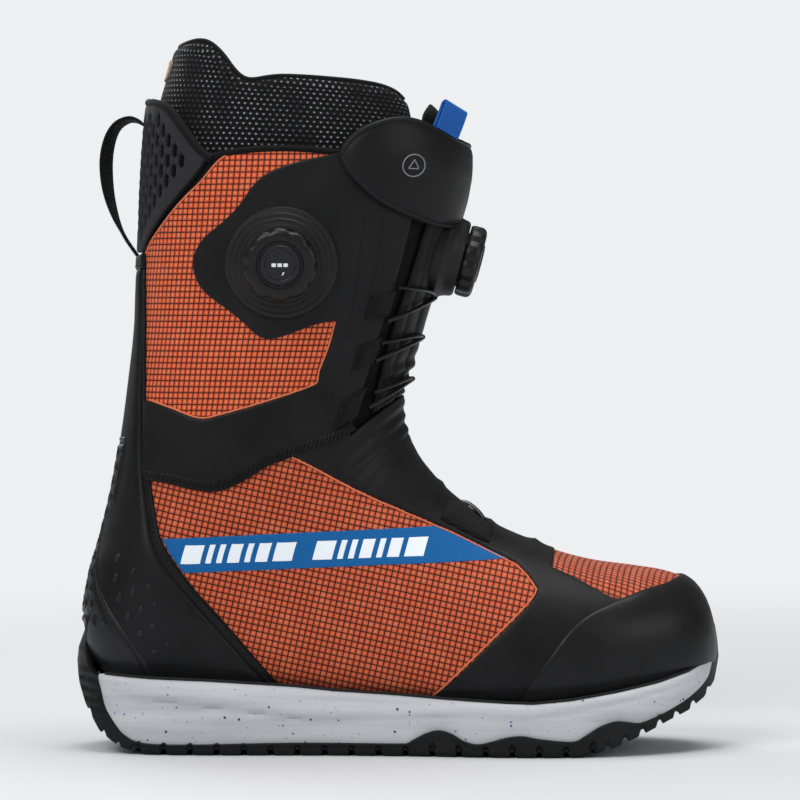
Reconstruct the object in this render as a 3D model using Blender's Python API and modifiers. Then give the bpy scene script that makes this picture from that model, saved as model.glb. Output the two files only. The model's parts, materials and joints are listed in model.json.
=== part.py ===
"""A right-foot snowboard boot with two lace dials. Millimetres in the tables, metres in the scene.

X points to the toe, -Y to the outer (lateral) side and Z up. The origin is on the ground under
the arch. Most pieces lie on one body surface, addressed by u (0 at the toe tip, 1 at the top of
the leg) and v (round it: 0 at the front, 0.25 lateral, 0.5 at the back, 0.75 medial).
"""

import math

import bmesh
import bpy
import numpy as np
from mathutils import Matrix, Vector
from mathutils.geometry import delaunay_2d_cdt

MM = 0.001

# ------------------------------------------------------------ driving sizes
SHELL = 2.2             # thickness of the outer shell
PANEL_IN = 1.8          # inner face of a sewn panel above the body surface
PANEL = 1.3             # thickness of a sewn panel
PANEL_OUT = PANEL_IN + PANEL
THICK_PANEL = 1.6       # thickness of the ankle band, collar panel and backstay
LINER_IN = 6.4          # outer face of the liner below the body surface
LINER = 5.0             # thickness of the liner round the foot
LEG_LINER = 6.0         # thickness of the liner round the leg
FOOTBED = 2.6           # thickness of the footbed, and its depth below the liner's inner face
PIVOT = (-40.0, 116.0)  # ankle axis in the side view
FLEX_GAP = (25.0, 38.0)  # gap between foot and cuff, degrees above level at the ankle axis
HEEL_LINE = 12.0        # slope of the joint line behind the ankle axis, degrees
JOINT_LAP = 0.3         # each joint cutter's edge is this far past the ankle axis
TONGUE_V = 0.104        # half width of the tongue as a share of the way round the leg
TONGUE_ARC = 34.5       # and its most in millimetres
LINER_TONGUE_V = 0.096
THROAT_V = 0.111        # half width of the opening the tongue closes
LINER_THROAT_V = 0.115
CABLE_R = 0.9
FAR, HIGH, LOW = 260.0, 700, -90  # reaches of cutters well past the boot
U_FOOT_TOP = 0.70       # the foot pieces run up to this ring before the ankle cut
U_LEG_FOOT = 0.50       # the leg pieces start at this ring before the ankle cut
U_SHELL_TOP = 0.965

SIDES = (("lateral", 1), ("medial", -1))

COLOURS = {  # linear RGB, roughness, metallic
    "tread_rubber": ((0.016, 0.016, 0.017), 0.62, 0),
    "foam": ((0.72, 0.73, 0.75), 0.7, 0),
    "gel": ((0.03, 0.19, 0.55), 0.3, 0),
    "board": ((0.30, 0.26, 0.20), 0.8, 0),
    "shank": ((0.06, 0.06, 0.065), 0.45, 0),
    "black_overlay": ((0.022, 0.022, 0.024), 0.5, 0),
    "orange_ripstop": ((0.72, 0.16, 0.035), 0.75, 0),
    "blue_tape": ((0.02, 0.20, 0.62), 0.6, 0),
    "collar_mesh": ((0.03, 0.03, 0.032), 0.9, 0),
    "liner_knit": ((0.045, 0.045, 0.048), 0.95, 0),
    "footbed_foam": ((0.10, 0.10, 0.11), 0.9, 0),
    "label": ((0.52, 0.42, 0.34), 0.8, 0),
    "webbing": ((0.65, 0.65, 0.67), 0.85, 0),
    "blue_webbing": ((0.02, 0.17, 0.55), 0.8, 0),
    "dial_plastic": ((0.014, 0.014, 0.016), 0.38, 0),
    "dial_inner": ((0.05, 0.05, 0.055), 0.45, 0),
    "steel": ((0.45, 0.45, 0.47), 0.35, 1),
    "cable": ((0.05, 0.05, 0.055), 0.4, 0),
}

for old in list(bpy.data.objects):
    bpy.data.objects.remove(old, do_unlink=True)
for old in list(bpy.data.meshes):
    bpy.data.meshes.remove(old)

BOOT = bpy.data.collections.new("snowboard_boot")
CUTTERS = bpy.data.collections.new("cutters")
for group in (BOOT, CUTTERS):
    bpy.context.scene.collection.children.link(group)


def material(name):
    found = bpy.data.materials.get(name)
    if found:
        return found
    rgb, roughness, metallic = COLOURS[name]
    made = bpy.data.materials.new(name)
    made.use_nodes = True
    shader = made.node_tree.nodes["Principled BSDF"]
    shader.inputs["Base Color"].default_value = (*rgb, 1)
    shader.inputs["Roughness"].default_value = roughness
    shader.inputs["Metallic"].default_value = metallic
    return made


# ---------------------------------------------------------------- boot last
# The boot body is a sock: rings run from the toe tip, fan round the heel and
# climb the leg. A ring is given by its top or front point F, its bottom or
# back point B (side view), the side shift of its middle, its lateral and
# medial half widths, the share of F-B where it is widest, and how square its
# front and back halves are (2 is an ellipse).
#      Fx     Fz     Bx     Bz    mid  lat.  med. widest front back
RINGS = [
    (149.0,  42.5, 148.6,  40.0, 5.0,  4.0,  4.0, .50, 2.0, 2.0),
    (148.6,  52.0, 147.0,  36.5, 5.0, 14.5, 14.5, .55, 2.1, 2.3),
    (147.0,  61.0, 144.5,  34.5, 5.0, 21.5, 21.0, .60, 2.2, 2.5),
    (143.5,  70.5, 140.0,  32.5, 4.6, 29.0, 27.5, .62, 2.2, 2.7),
    (137.5,  78.0, 132.5,  31.0, 4.2, 36.5, 34.0, .64, 2.2, 2.9),
    (127.0,  82.8, 121.0,  29.0, 3.6, 44.0, 40.5, .66, 2.2, 3.1),
    (110.0,  86.2, 102.0,  27.0, 2.8, 52.0, 46.8, .68, 2.2, 3.3),
    ( 90.0,  89.6,  81.0,  25.0, 1.8, 56.3, 50.2, .70, 2.2, 3.4),
    ( 70.0,  95.6,  58.0,  24.0, 0.8, 56.8, 50.2, .71, 2.2, 3.5),
    ( 50.0, 104.0,  32.0,  24.0, 0.2, 54.8, 47.2, .72, 2.2, 3.5),
    ( 35.0, 113.4,   4.0,  25.5, 0.0, 51.3, 44.2, .71, 2.2, 3.5),
    ( 21.0, 125.0, -28.0,  28.0, 0.0, 48.6, 43.4, .68, 2.2, 3.5),
    ( 11.0, 136.5, -64.0,  31.0, 0.0, 47.2, 44.0, .64, 2.2, 3.4),
    (  5.0, 147.5,-104.0,  34.0, 0.0, 46.6, 45.2, .59, 2.2, 3.2),
    (  2.3, 156.0,-136.0,  42.0, 0.0, 46.8, 46.0, .55, 2.2, 2.9),
    (  1.5, 163.5,-147.2,  60.0, 0.0, 47.0, 46.5, .52, 2.2, 2.5),
    (  2.0, 171.0,-145.2,  84.0, 0.0, 47.2, 47.0, .50, 2.2, 2.4),
    (  3.5, 178.5,-139.4, 105.0, 0.0, 47.2, 47.2, .49, 2.2, 2.3),
    (  5.5, 187.0,-133.6, 128.0, 0.0, 47.4, 47.4, .48, 2.2, 2.3),
    (  8.5, 198.0,-129.5, 152.0, 0.0, 48.2, 48.2, .48, 2.2, 2.3),
    ( 12.0, 210.0,-126.0, 178.0, 0.0, 49.6, 49.6, .48, 2.2, 2.3),
    ( 16.5, 223.0,-123.3, 203.0, 0.0, 51.2, 51.2, .48, 2.2, 2.3),
    ( 20.8, 236.0,-122.2, 226.0, 0.0, 52.8, 52.8, .48, 2.2, 2.3),
    ( 24.6, 250.0,-121.3, 248.0, 0.0, 54.2, 54.2, .48, 2.2, 2.3),
    ( 27.6, 265.0,-120.6, 268.0, 0.0, 55.2, 55.2, .48, 2.2, 2.3),
    ( 29.6, 280.0,-119.6, 288.0, 0.0, 56.0, 56.0, .48, 2.2, 2.3),
    ( 28.5, 294.0,-117.6, 306.0, 0.0, 56.0, 56.0, .48, 2.2, 2.3),
    ( 25.0, 308.0,-114.0, 323.0, 0.0, 55.0, 55.0, .48, 2.2, 2.3),
    ( 21.0, 322.0,-110.0, 340.0, 0.0, 53.0, 53.0, .48, 2.2, 2.3),
]
LEAN = 0.02          # the outline heights lean one part in fifty
GROUND = 3.0         # and the ground is this high in them
N_ALONG, N_AROUND = 481, 401
HALF_ROUND = N_AROUND // 2
FINE_ALONG, FINE_ROUND = 2401, 721  # samples that the even steps are read from
GIRTH = 360.0        # the width that v 0..1 takes when a panel is laid flat


def level(x, z):
    """An outline height with the sole set level on the ground."""
    return z + LEAN * x - GROUND


def levelled(points):
    return [(x, level(x, z)) for x, z in points]


def spline(points, t):
    """Catmull-Rom through rows of points at t, counted in rows."""
    rows = np.asarray(points, float)
    n = len(rows)
    t = np.clip(np.asarray(t, float), 0, n - 1 - 1e-9)
    i = np.floor(t).astype(int)
    f = (t - i)[..., None]
    a, b = rows[np.maximum(i - 1, 0)], rows[i]
    c, d = rows[np.minimum(i + 1, n - 1)], rows[np.minimum(i + 2, n - 1)]
    return 0.5 * (2 * b + (c - a) * f + (2 * a - 5 * b + 4 * c - d) * f**2
                  + (3 * b - a - 3 * c + d) * f**3)


def distance_along(points):
    """Running length at each point of a line."""
    steps = np.linalg.norm(np.diff(points, axis=0), axis=1)
    return np.concatenate([[0], np.cumsum(steps)])


def ring_table():
    """Rings at even steps along the sock, points at even steps round each ring.

    Returns places, normals, F-B shares of the lateral half, the ring rows and the sock's length.
    """
    fine_at = np.linspace(0, len(RINGS) - 1, FINE_ALONG)
    fine = spline(RINGS, fine_at)
    front_step = np.hypot(*np.diff(fine[:, :2], axis=0).T)
    back_step = np.hypot(*np.diff(fine[:, 2:4], axis=0).T)
    along = np.concatenate([[0], np.cumsum(0.5 * (front_step + back_step))])
    at = np.interp(np.linspace(0, along[-1], N_ALONG), along, fine_at)
    rings = spline(RINGS, at)
    place = np.zeros((N_ALONG, N_AROUND, 3))
    share = np.zeros((N_ALONG, HALF_ROUND + 1))
    phi = np.linspace(0, math.pi, FINE_ROUND)
    cos, sin = np.cos(phi), np.sin(phi)
    for i in range(N_ALONG):
        fx, fz, bx, bz, middle, lateral, medial, widest, square_front, square_back = rings[i]
        fz, bz = level(fx, fz), level(bx, bz)
        power = 2 / np.where(cos > 0, square_front, square_back)
        out = np.abs(sin) ** power
        down = np.where(cos > 0, widest * (1 - np.abs(cos) ** power),
                        widest + (1 - widest) * np.abs(cos) ** power)
        for side, half_width in ((-1, lateral), (1, medial)):
            curve = np.stack([fx + (bx - fx) * down, middle + side * half_width * out,
                              fz + (bz - fz) * down], 1)
            run = distance_along(curve)
            even = np.linspace(0, run[-1], HALF_ROUND + 1)
            spaced = np.stack([np.interp(even, run, curve[:, k]) for k in range(3)], 1)
            if side < 0:
                place[i, : HALF_ROUND + 1] = spaced
                share[i] = np.interp(even, run, down)
            else:
                place[i, HALF_ROUND:] = spaced[::-1]
    du = np.gradient(place, axis=0)
    dv = np.gradient(place, axis=1)
    dv[:, 0] = dv[:, -1] = (place[:, 1] - place[:, -2]) / 2
    normal = np.cross(du, dv)
    normal /= np.maximum(np.linalg.norm(normal, axis=2), 1e-9)[..., None]
    centre = place[:, :-1].mean(axis=1)[:, None]
    if ((place - centre) * normal).sum() < 0:
        normal = -normal
    return place, normal, share, rings, along[-1]


PLACE, NORMAL, SHARE, RING, LENGTH = ring_table()
FRONT_X, FRONT_HEIGHT, BACK_X, BACK_HEIGHT = RING[:, :4].T
FRONT_Z = level(FRONT_X, FRONT_HEIGHT)
BACK_Z = level(BACK_X, BACK_HEIGHT)
PERIMETER = np.linalg.norm(np.diff(PLACE, axis=1), axis=2).sum(axis=1)
RING_U = np.linspace(0, 1, N_ALONG)


def at_ring(u, column):
    """A value given per ring, read at u."""
    return np.interp(u * (N_ALONG - 1), np.arange(N_ALONG), column)


def sample(values, u, v):
    """Reads PLACE or NORMAL at u, v; v wraps."""
    u = np.clip(np.asarray(u, float), 0, 1) * (N_ALONG - 1)
    v = (np.asarray(v, float) % 1.0) * (N_AROUND - 1)
    i = np.minimum(u.astype(int), N_ALONG - 2)
    j = np.minimum(v.astype(int), N_AROUND - 2)
    a, b = (u - i)[..., None], (v - j)[..., None]
    return (values[i, j] * (1 - a) * (1 - b) + values[i + 1, j] * a * (1 - b)
            + values[i, j + 1] * (1 - a) * b + values[i + 1, j + 1] * a * b)


def skin(u, v, off=0.0):
    """Points on the boot body, off millimetres outside it."""
    normal = sample(NORMAL, u, v)
    normal /= np.maximum(np.linalg.norm(normal, axis=-1), 1e-9)[..., None]
    return sample(PLACE, u, v) + normal * off


def skin_point(u, v, off=0.0):
    return skin(np.array([u]), np.array([v]), off)[0]


def shrunk(u, v, inset):
    """Points on the body with every ring drawn in by inset in its own plane.

    Unlike a negative skin offset this never crosses itself.
    """
    u = np.clip(np.asarray(u, float), 0, 1)
    p = sample(PLACE, u, v)
    fx, fz, bx, bz, middle, lateral, medial = (at_ring(u, RING[:, k]) for k in range(7))
    front = np.stack([fx, level(fx, fz)], -1)
    axis = np.stack([bx, level(bx, bz)], -1) - front
    length = np.linalg.norm(axis, axis=-1)
    axis = axis / length[..., None]
    down = ((p[..., [0, 2]] - front) * axis).sum(-1)
    half = length * 0.5
    down = half + (down - half) * (length - 2 * inset) / length
    width = np.where(p[..., 1] < middle, lateral, medial)
    y = middle + (p[..., 1] - middle) * (width - inset) / width
    xz = front + axis * down[..., None]
    return np.stack([xz[..., 0], y, xz[..., 1]], -1)


def uv(x, z):
    """The place (u, v) on the lateral side that shows at outline point (x, z)."""
    z = level(x, z)
    axis_x, axis_z = BACK_X - FRONT_X, BACK_Z - FRONT_Z
    from_x, from_z = x - FRONT_X, z - FRONT_Z
    side = axis_x * from_z - axis_z * from_x
    share = (from_x * axis_x + from_z * axis_z) / (axis_x ** 2 + axis_z ** 2)
    best = None
    # The point lies on each ring line where side changes sign; keep the one it overshoots least.
    for i in np.nonzero(np.sign(side[:-1]) != np.sign(side[1:]))[0]:
        f = side[i] / (side[i] - side[i + 1])
        there = share[i] + (share[i + 1] - share[i]) * f
        miss = max(0, -there, there - 1)
        if best is None or miss < best[0]:
            best = (miss, i + f, there)
    _, at, there = best
    there = min(max(there, 0.0), 1.0)
    i = min(int(at), N_ALONG - 2)
    row = SHARE[i] * (1 - (at - i)) + SHARE[i + 1] * (at - i)
    v = np.interp(there, row, np.linspace(0, 0.5, HALF_ROUND + 1))
    return at / (N_ALONG - 1), float(v)


def u_front(z):
    """The ring whose front point is at outline height z."""
    return float(np.interp(level(0, z), FRONT_Z - LEAN * FRONT_X, RING_U))


def u_vamp(x):
    """The ring whose top point is at x on the vamp."""
    half = N_ALONG // 2
    return float(np.interp(-x, -FRONT_X[:half], RING_U[:half]))


def u_back(z):
    """The ring whose back point is at outline height z above the heel."""
    heel = int(np.argmin(BACK_X))
    return float(np.interp(z, BACK_HEIGHT[heel:], RING_U[heel:]))


# ------------------------------------------------------------- mesh helpers
def grid_faces(rows, cols, closed=False):
    """Quads between rows of points; closed joins each row's end to its start."""
    faces = []
    for i in range(rows - 1):
        for j in range(cols if closed else cols - 1):
            a, b = i * cols + j, i * cols + (j + 1) % cols
            faces.append((a, b, b + cols, a + cols))
    return faces


def end_caps(rows, cols):
    """The two faces that close a stack of closed rows."""
    return [tuple(range(cols)), tuple(range(rows * cols - 1, (rows - 1) * cols - 1, -1))]


def clean(mesh, dissolve=False):
    """Welds doubled points, drops degenerate faces if asked and turns the faces outwards."""
    bm = bmesh.new()
    bm.from_mesh(mesh)
    bmesh.ops.remove_doubles(bm, verts=bm.verts, dist=1e-6)
    if dissolve:
        bmesh.ops.dissolve_degenerate(bm, edges=bm.edges, dist=1e-7)
    bmesh.ops.recalc_face_normals(bm, faces=bm.faces)
    bm.to_mesh(mesh)
    bm.free()


def shade(mesh):
    mesh.shade_smooth()
    mesh.set_sharp_from_angle(angle=math.radians(35))


def put(name, points, faces, slot, smooth=True, origin=(0, 0, 0)):
    """One object from points in millimetres, its origin at origin. Without a slot it is a cutter."""
    mesh = bpy.data.meshes.new(name)
    at = Vector(origin)
    mesh.from_pydata([tuple((Vector(p) - at) * MM) for p in points], [], [tuple(f) for f in faces])
    clean(mesh)
    obj = bpy.data.objects.new(name, mesh)
    obj.location = at * MM
    if slot is None:
        CUTTERS.objects.link(obj)
        obj.hide_render = True
        obj.display_type = "WIRE"
        return obj
    BOOT.objects.link(obj)
    mesh.materials.append(material(slot))
    if smooth:
        shade(mesh)
    return obj


def face_out(obj):
    """Turns an open sheet so that its faces point away from the inside of the boot."""
    mesh = obj.data
    bm = bmesh.new()
    bm.from_mesh(mesh)
    total = 0.0
    for face in bm.faces:
        centre = (face.calc_center_median() + obj.location) / MM
        # The middle of the boot nearest the face: in the leg, the heel or the forefoot.
        if centre.z >= 125:
            middle = Vector((-52.0, 0, centre.z))
        elif centre.x < -60:
            middle = Vector((-80.0, 0, 80.0))
        else:
            middle = Vector((min(centre.x, 118.0), 0, 55.0))
        total += face.normal.dot(centre - middle) * face.calc_area()
    if total < 0:
        bmesh.ops.reverse_faces(bm, faces=bm.faces)
    bm.to_mesh(mesh)
    bm.free()


def thicken(obj, thick, out=True):
    face_out(obj)
    solid = obj.modifiers.new("thickness", "SOLIDIFY")
    solid.thickness = thick * MM
    solid.offset = 1 if out else -1
    solid.use_even_offset = False
    return obj


def cut(obj, cutter, operation="DIFFERENCE"):
    boolean = obj.modifiers.new(cutter.name, "BOOLEAN")
    boolean.operation = operation
    boolean.solver = "EXACT"
    boolean.object = cutter


def prism(name, polygon, y0=-120.0, y1=120.0, slot=None):
    """A side-view outline drawn straight across the boot from y0 to y1."""
    n = len(polygon)
    points = [(x, y, z) for y in (y0, y1) for x, z in polygon]
    return put(name, points, end_caps(2, n) + grid_faces(2, n, closed=True), slot, smooth=False)


def ellipse_block(name, x_mid, half_x, half_y, z0, z1, slot=None, steps=28):
    """An upright block with an elliptical plan."""
    angles = [2 * math.pi * k / steps for k in range(steps)]
    plan = [(x_mid + half_x * math.cos(a), half_y * math.sin(a)) for a in angles]
    points = [(x, y, z) for z in (z0, z1) for x, y in plan]
    return put(name, points, end_caps(2, steps) + grid_faces(2, steps, closed=True), slot)


def body_solid(name, off):
    """The whole body as a closed cutter, off millimetres larger, for seats in what touches it."""
    nu, nv = 38, 30
    uu, vv = np.meshgrid(np.linspace(0, 1, nu), np.arange(nv) / nv, indexing="ij")
    points = skin(uu, vv, off).reshape(-1, 3).tolist()
    return put(name, points, grid_faces(nu, nv, closed=True) + end_caps(nu, nv), None)


def frame_at(place, out):
    """A matrix whose +Z leaves the surface at place (mm)."""
    w = Vector(out).normalized()
    x = Vector((0, 0, 1)).cross(w).normalized()
    y = w.cross(x)
    frame = Matrix((x, y, w)).transposed().to_4x4()
    frame.translation = Vector(place) * MM
    return frame


def turned(name, profile, slot, where, steps=20, shape=None):
    """A turned piece: (radius, height) profile in mm round the local Z of where.

    The profile runs from its top down its outside and back; one that starts off the axis is a
    closed loop. shape(angle, radius) scales each radius.
    """
    points, faces = [], []
    n = len(profile)
    for k in range(steps):
        angle = 2 * math.pi * k / steps
        for r, z in profile:
            scale = shape(angle, r) if shape else 1.0
            points.append((r * scale * math.cos(angle), r * scale * math.sin(angle), z))
    closed = profile[0][0] > 0
    for k in range(steps):
        here, there = k * n, ((k + 1) % steps) * n
        for i in range(n if closed else n - 1):
            j = (i + 1) % n
            faces.append((here + i, here + j, there + j, there + i))
    mesh = bpy.data.meshes.new(name)
    mesh.from_pydata([tuple(Vector(p) * MM) for p in points], [], faces)
    clean(mesh, dissolve=True)
    mesh.materials.append(material(slot))
    shade(mesh)
    obj = bpy.data.objects.new(name, mesh)
    obj.matrix_world = where
    BOOT.objects.link(obj)
    return obj


def cable(name, path):
    """A round cable through points, as a curve made into a mesh with welded caps."""
    curve = bpy.data.curves.new(name, "CURVE")
    curve.dimensions = "3D"
    line = curve.splines.new("POLY")
    line.points.add(len(path) - 1)
    for point, place in zip(line.points, path):
        point.co = (*(Vector(place) * MM), 1)
    curve.bevel_depth = CABLE_R * MM
    curve.bevel_resolution = 1
    curve.use_fill_caps = True
    drawn = bpy.data.objects.new(name + "_line", curve)
    BOOT.objects.link(drawn)
    graph = bpy.context.evaluated_depsgraph_get()
    mesh = bpy.data.meshes.new_from_object(drawn.evaluated_get(graph))
    bpy.data.objects.remove(drawn, do_unlink=True)
    clean(mesh)
    mesh.materials.clear()
    mesh.materials.append(material("cable"))
    mesh.shade_smooth()
    BOOT.objects.link(bpy.data.objects.new(name, mesh))


# ---------------------------------------------------------- outline helpers
def smooth_run(points, gap):
    """A curve through points, cut into steps of about gap millimetres."""
    if len(points) == 2:
        (x0, z0), (x1, z1) = points
        points = [points[0], ((x0 + x1) / 2, (z0 + z1) / 2), points[1]]
    fine = spline(points, np.linspace(0, len(points) - 1, 40 * len(points)))
    run = distance_along(fine)
    n = max(1, round(run[-1] / gap))
    even = np.linspace(0, run[-1], n + 1)
    return [tuple(np.interp(e, run, fine[:, k]) for k in range(fine.shape[1])) for e in even]


def runs(*parts, gap):
    """Curved runs that meet at corners, each starting where the one before ended.

    The very last point is left out.
    """
    line = []
    start = []
    for part in parts:
        part = start + part
        line += smooth_run(part, gap)[:-1]
        start = part[-1:]
    return line


def offset_line(line, by):
    """Each point moved by that many millimetres to the left of the line's direction."""
    moved = []
    for i, (x, z) in enumerate(line):
        a, b = line[max(i - 1, 0)], line[min(i + 1, len(line) - 1)]
        d = Vector((b[0] - a[0], b[1] - a[1])).normalized()
        moved.append((x - d.y * by, z + d.x * by))
    return moved


def on_body(line):
    """Side-view points as (u, v) on the lateral side."""
    return [uv(x, z) for x, z in line]


def round_back(line):
    """A lateral (u, v) line that starts and ends at the back, with its mirror image, as a loop."""
    return list(line) + [(u, 1 - v) for u, v in reversed(line)]


def over_top(line):
    """The same for a line that starts and ends at the front or top."""
    return list(line) + [(u, -v) for u, v in reversed(line)]


def rectangle(u0, u1, v0, v1):
    return [(u0, v0), (u0, v1), (u1, v1), (u1, v0)]


def tidy(loop, least=2.0):
    """The loop without points closer together than least."""
    kept = []
    for p in loop:
        if not kept or math.dist(p, kept[-1]) > least:
            kept.append(p)
    while math.dist(kept[0], kept[-1]) < least:
        kept.pop()
    return kept


def drawn_in(loop, by):
    """A loop moved inwards by that many millimetres."""
    n = len(loop)
    area = sum(loop[i][0] * loop[(i + 1) % n][1] - loop[(i + 1) % n][0] * loop[i][1]
               for i in range(n))
    sign = 1 if area > 0 else -1
    moved = []
    for i in range(n):
        before, here, after = (Vector(loop[(i + k) % n]) for k in (-1, 0, 1))
        d1, d2 = (here - before).normalized(), (after - here).normalized()
        n1, n2 = Vector((-d1.y, d1.x)) * sign, Vector((-d2.y, d2.x)) * sign
        mitre = n1 + n2
        mitre = mitre / max(mitre.dot(n1), 0.6) if mitre.length > 0.2 else n1
        moved.append(tuple(here + mitre * by))
    return moved


def stepped(loop, most):
    """The same loop with extra points wherever an edge is longer than most."""
    points = []
    for a, b in zip(loop, loop[1:] + loop[:1]):
        n = max(1, math.ceil(math.dist(a, b) / most))
        points += [(a[0] + (b[0] - a[0]) * k / n, a[1] + (b[1] - a[1]) * k / n) for k in range(n)]
    return points


def grid_inside(loop, step):
    """Points of a square grid that lie inside the loop and clear of its edge."""
    low, high = np.min(loop, axis=0), np.max(loop, axis=0)
    kept = []
    for x in np.arange(low[0] + step / 2, high[0], step):
        for y in np.arange(low[1] + step / 2, high[1], step):
            hit, near = False, 1e9
            for i in range(len(loop)):
                (x1, y1), (x2, y2) = loop[i - 1], loop[i]
                if (y1 > y) != (y2 > y) and x < (x2 - x1) * (y - y1) / (y2 - y1) + x1:
                    hit = not hit
                t = ((x - x1) * (x2 - x1) + (y - y1) * (y2 - y1)) / max(
                    (x2 - x1) ** 2 + (y2 - y1) ** 2, 1e-9)
                t = max(0, min(1, t))
                near = min(near, math.hypot(x - x1 - t * (x2 - x1), y - y1 - t * (y2 - y1)))
            if hit and near > 0.45 * step:
                kept.append((x, y))
    return kept


# ------------------------------------------------------------ sheet helpers
def panel(name, loop, slot, off=PANEL_IN, thick=PANEL, mesh_mm=14.0, inset=0.65, mirror=False):
    """A closed panel on the boot: a (u, v) outline filled with triangles, thickened outwards."""
    loop = tidy([(u * LENGTH, v * GIRTH) for u, v in loop])
    loop = stepped(drawn_in(loop, inset), 0.9 * mesh_mm)
    n = len(loop)
    flat, _, faces, *_ = delaunay_2d_cdt(
        [Vector(p) for p in loop + grid_inside(loop, mesh_mm)],
        [(i, (i + 1) % n) for i in range(n)], [], 1, 1e-5)
    flat = np.array([tuple(p) for p in flat])
    v = flat[:, 1] / GIRTH
    place = skin(flat[:, 0] / LENGTH, (1 - v) if mirror else v, off)
    return thicken(put(name, place, faces, slot), thick)


def sock(name, u0, u1, nu, nv, slot, inset, thick, v0=None):
    """The body between two rings as one thick wall.

    With v0 it is open at the front by v0 either side; without, its toe end is closed.
    """
    closed = v0 is None
    us = np.linspace(u0, u1, nu)
    vs = np.arange(nv) / nv if closed else np.linspace(v0, 1 - v0, nv)
    uu, vv = np.meshgrid(us, vs, indexing="ij")
    place = skin(uu, vv, -inset)
    points = place.reshape(-1, 3).tolist()
    faces = grid_faces(nu, nv, closed)
    if closed:
        faces += [(len(points), (j + 1) % nv, j) for j in range(nv)]
        points.append(tuple(place[0].mean(axis=0)))
    return thicken(put(name, points, faces, slot), thick, out=False)


def strip(name, us, half_v, slot, inset, thick, nv):
    """A sheet along the bottom or back, inset below the body surface and thickened inwards."""
    points = []
    for u, half in zip(us, half_v):
        v = np.linspace(0.5 - half, 0.5 + half, nv)
        points += skin(np.full(nv, u), v, -inset).tolist()
    thicken(put(name, points, grid_faces(len(us), nv), slot), thick, out=False)


# ------------------------------------------------------------ ankle cutters
def ankle_cutter(name, slope_front, lap, end_z):
    """Everything on one side of the joint line, which bends at the ankle axis."""
    x, z = PIVOT
    front, back = (math.tan(math.radians(a)) for a in (slope_front, HEEL_LINE))
    return prism(name, [(x - FAR, z + lap + FAR * back), (x, z + lap),
                        (x + FAR, z + lap + FAR * front), (x + FAR, end_z), (x - FAR, end_z)])


# ------------------------------------------------------------------ the sole
# Plan outline of the sole, x and y, round from the toe by the lateral side.
FOOTPRINT = [
    (151.5, 5), (149, -9.5), (143, -22), (132, -35.5), (115, -47), (92, -55), (66, -58),
    (38, -55.5), (8, -50), (-25, -46.5), (-60, -45.5), (-95, -45), (-122, -40), (-140, -29),
    (-149, -15), (-152, 0), (-149, 15), (-140, 29), (-122, 40), (-95, 44), (-60, 43), (-25, 40),
    (8, 41.5), (38, 47), (66, 51.5), (92, 52), (115, 47.5), (132, 38.5), (143, 28.5), (149, 18),
]
FOOTPRINT_LEVELS = ((-20, 0.97), (20, 0.995), (45, 1.0), (90, 1.0))  # z, share of full width

# Side-view outlines, x and z. The midsole's top runs heel to toe, its bottom toe to heel.
MID_TOP = levelled([
    (-141, 40), (-115, 38.5), (-90, 38), (-50, 34.5), (-30, 32), (0, 29.5), (20, 27.5),
    (50, 25.5), (62, 25), (80, 26.5), (100, 29.5), (120, 33), (135, 37), (143, 41), (147, 44.5)])
MID_BOTTOM = levelled([
    (147.2, 39.5), (144.6, 33.6), (138, 27.6), (129, 22.4), (120, 18.4), (112, 15.8),
    (106, 16.5), (100, 17), (93, 15), (86, 11), (80, 8.5), (65, 10), (57, 11.5), (50, 11),
    (42, 9), (36, 8), (30, 9.5), (24, 13), (18, 14.5), (12, 13), (5, 9.5), (0, 8.5), (-50, 9.5),
    (-100, 9.5), (-120, 10.5), (-128, 14), (-133, 20), (-137, 27), (-139, 35)])
OUT_HEEL = levelled([
    (-141.4, 41), (-144.5, 60), (-148.5, 58), (-151, 50), (-151.5, 42), (-150.5, 33),
    (-147, 24), (-140, 13.5)])
OUT_TREAD = [(-129, 2.5), (-117, 0.0), (84, 0.0), (95, 2.4), (105, 6.2), (115, 10.6),
             (125, 15.4), (135, 19.6), (143, 24.8)]
OUT_TOE = [(148.4, 31.5), (151, 42.0), (150.5, 50.0), (149.5, 57.0), (147.5, 61.0),
           (144.5, 60.0), (147.4, 44.4)]
SOLE_GAP = 0.35       # between midsole and outsole
SOLE_HALF = 80        # half width the sole is drawn at before the footprint trims it
UNDER_TREAD = -5      # where cutters that open the tread start

GROOVES = (-104, -84, -64, -44, -24, 16, 34, 52, 70)  # x of the flex grooves
GROOVE_HALF, GROOVE_TAPER, GROOVE_DEPTH = 2.6, 1.2, 2.4

GEL_X, GEL_HALF_X, GEL_HALF_Y = -84.0, 22.6, 8.0
GEL_BOTTOM, GEL_TOP = 1.4, 12.0
INLAY_GAP = 0.4       # round the gel pad and the shank in their pockets

SHANK_X = np.linspace(-62, 22, 9)
SHANK_DEPTH = 1.2     # top of the shank below the body surface
SHANK, SHANK_HALF = 1.8, 11
POCKET_RISE = 8       # the shank pocket reaches this far above the shank


def build_footprint():
    ring = FOOTPRINT[-1:] + FOOTPRINT + FOOTPRINT[:2]
    outline = spline(ring, np.linspace(1, len(FOOTPRINT) + 1, 49))[:-1]
    rows, n = len(FOOTPRINT_LEVELS), len(outline)
    points = [(x, y * grow, z) for z, grow in FOOTPRINT_LEVELS for x, y in outline]
    return put("footprint", points, grid_faces(rows, n, closed=True) + end_caps(rows, n), None)


def sole_layer(name, outline, slot, footprint, seat):
    layer = prism(name, outline, -SOLE_HALF, SOLE_HALF, slot)
    cut(layer, footprint, "INTERSECT")
    cut(layer, seat)
    return layer


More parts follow.
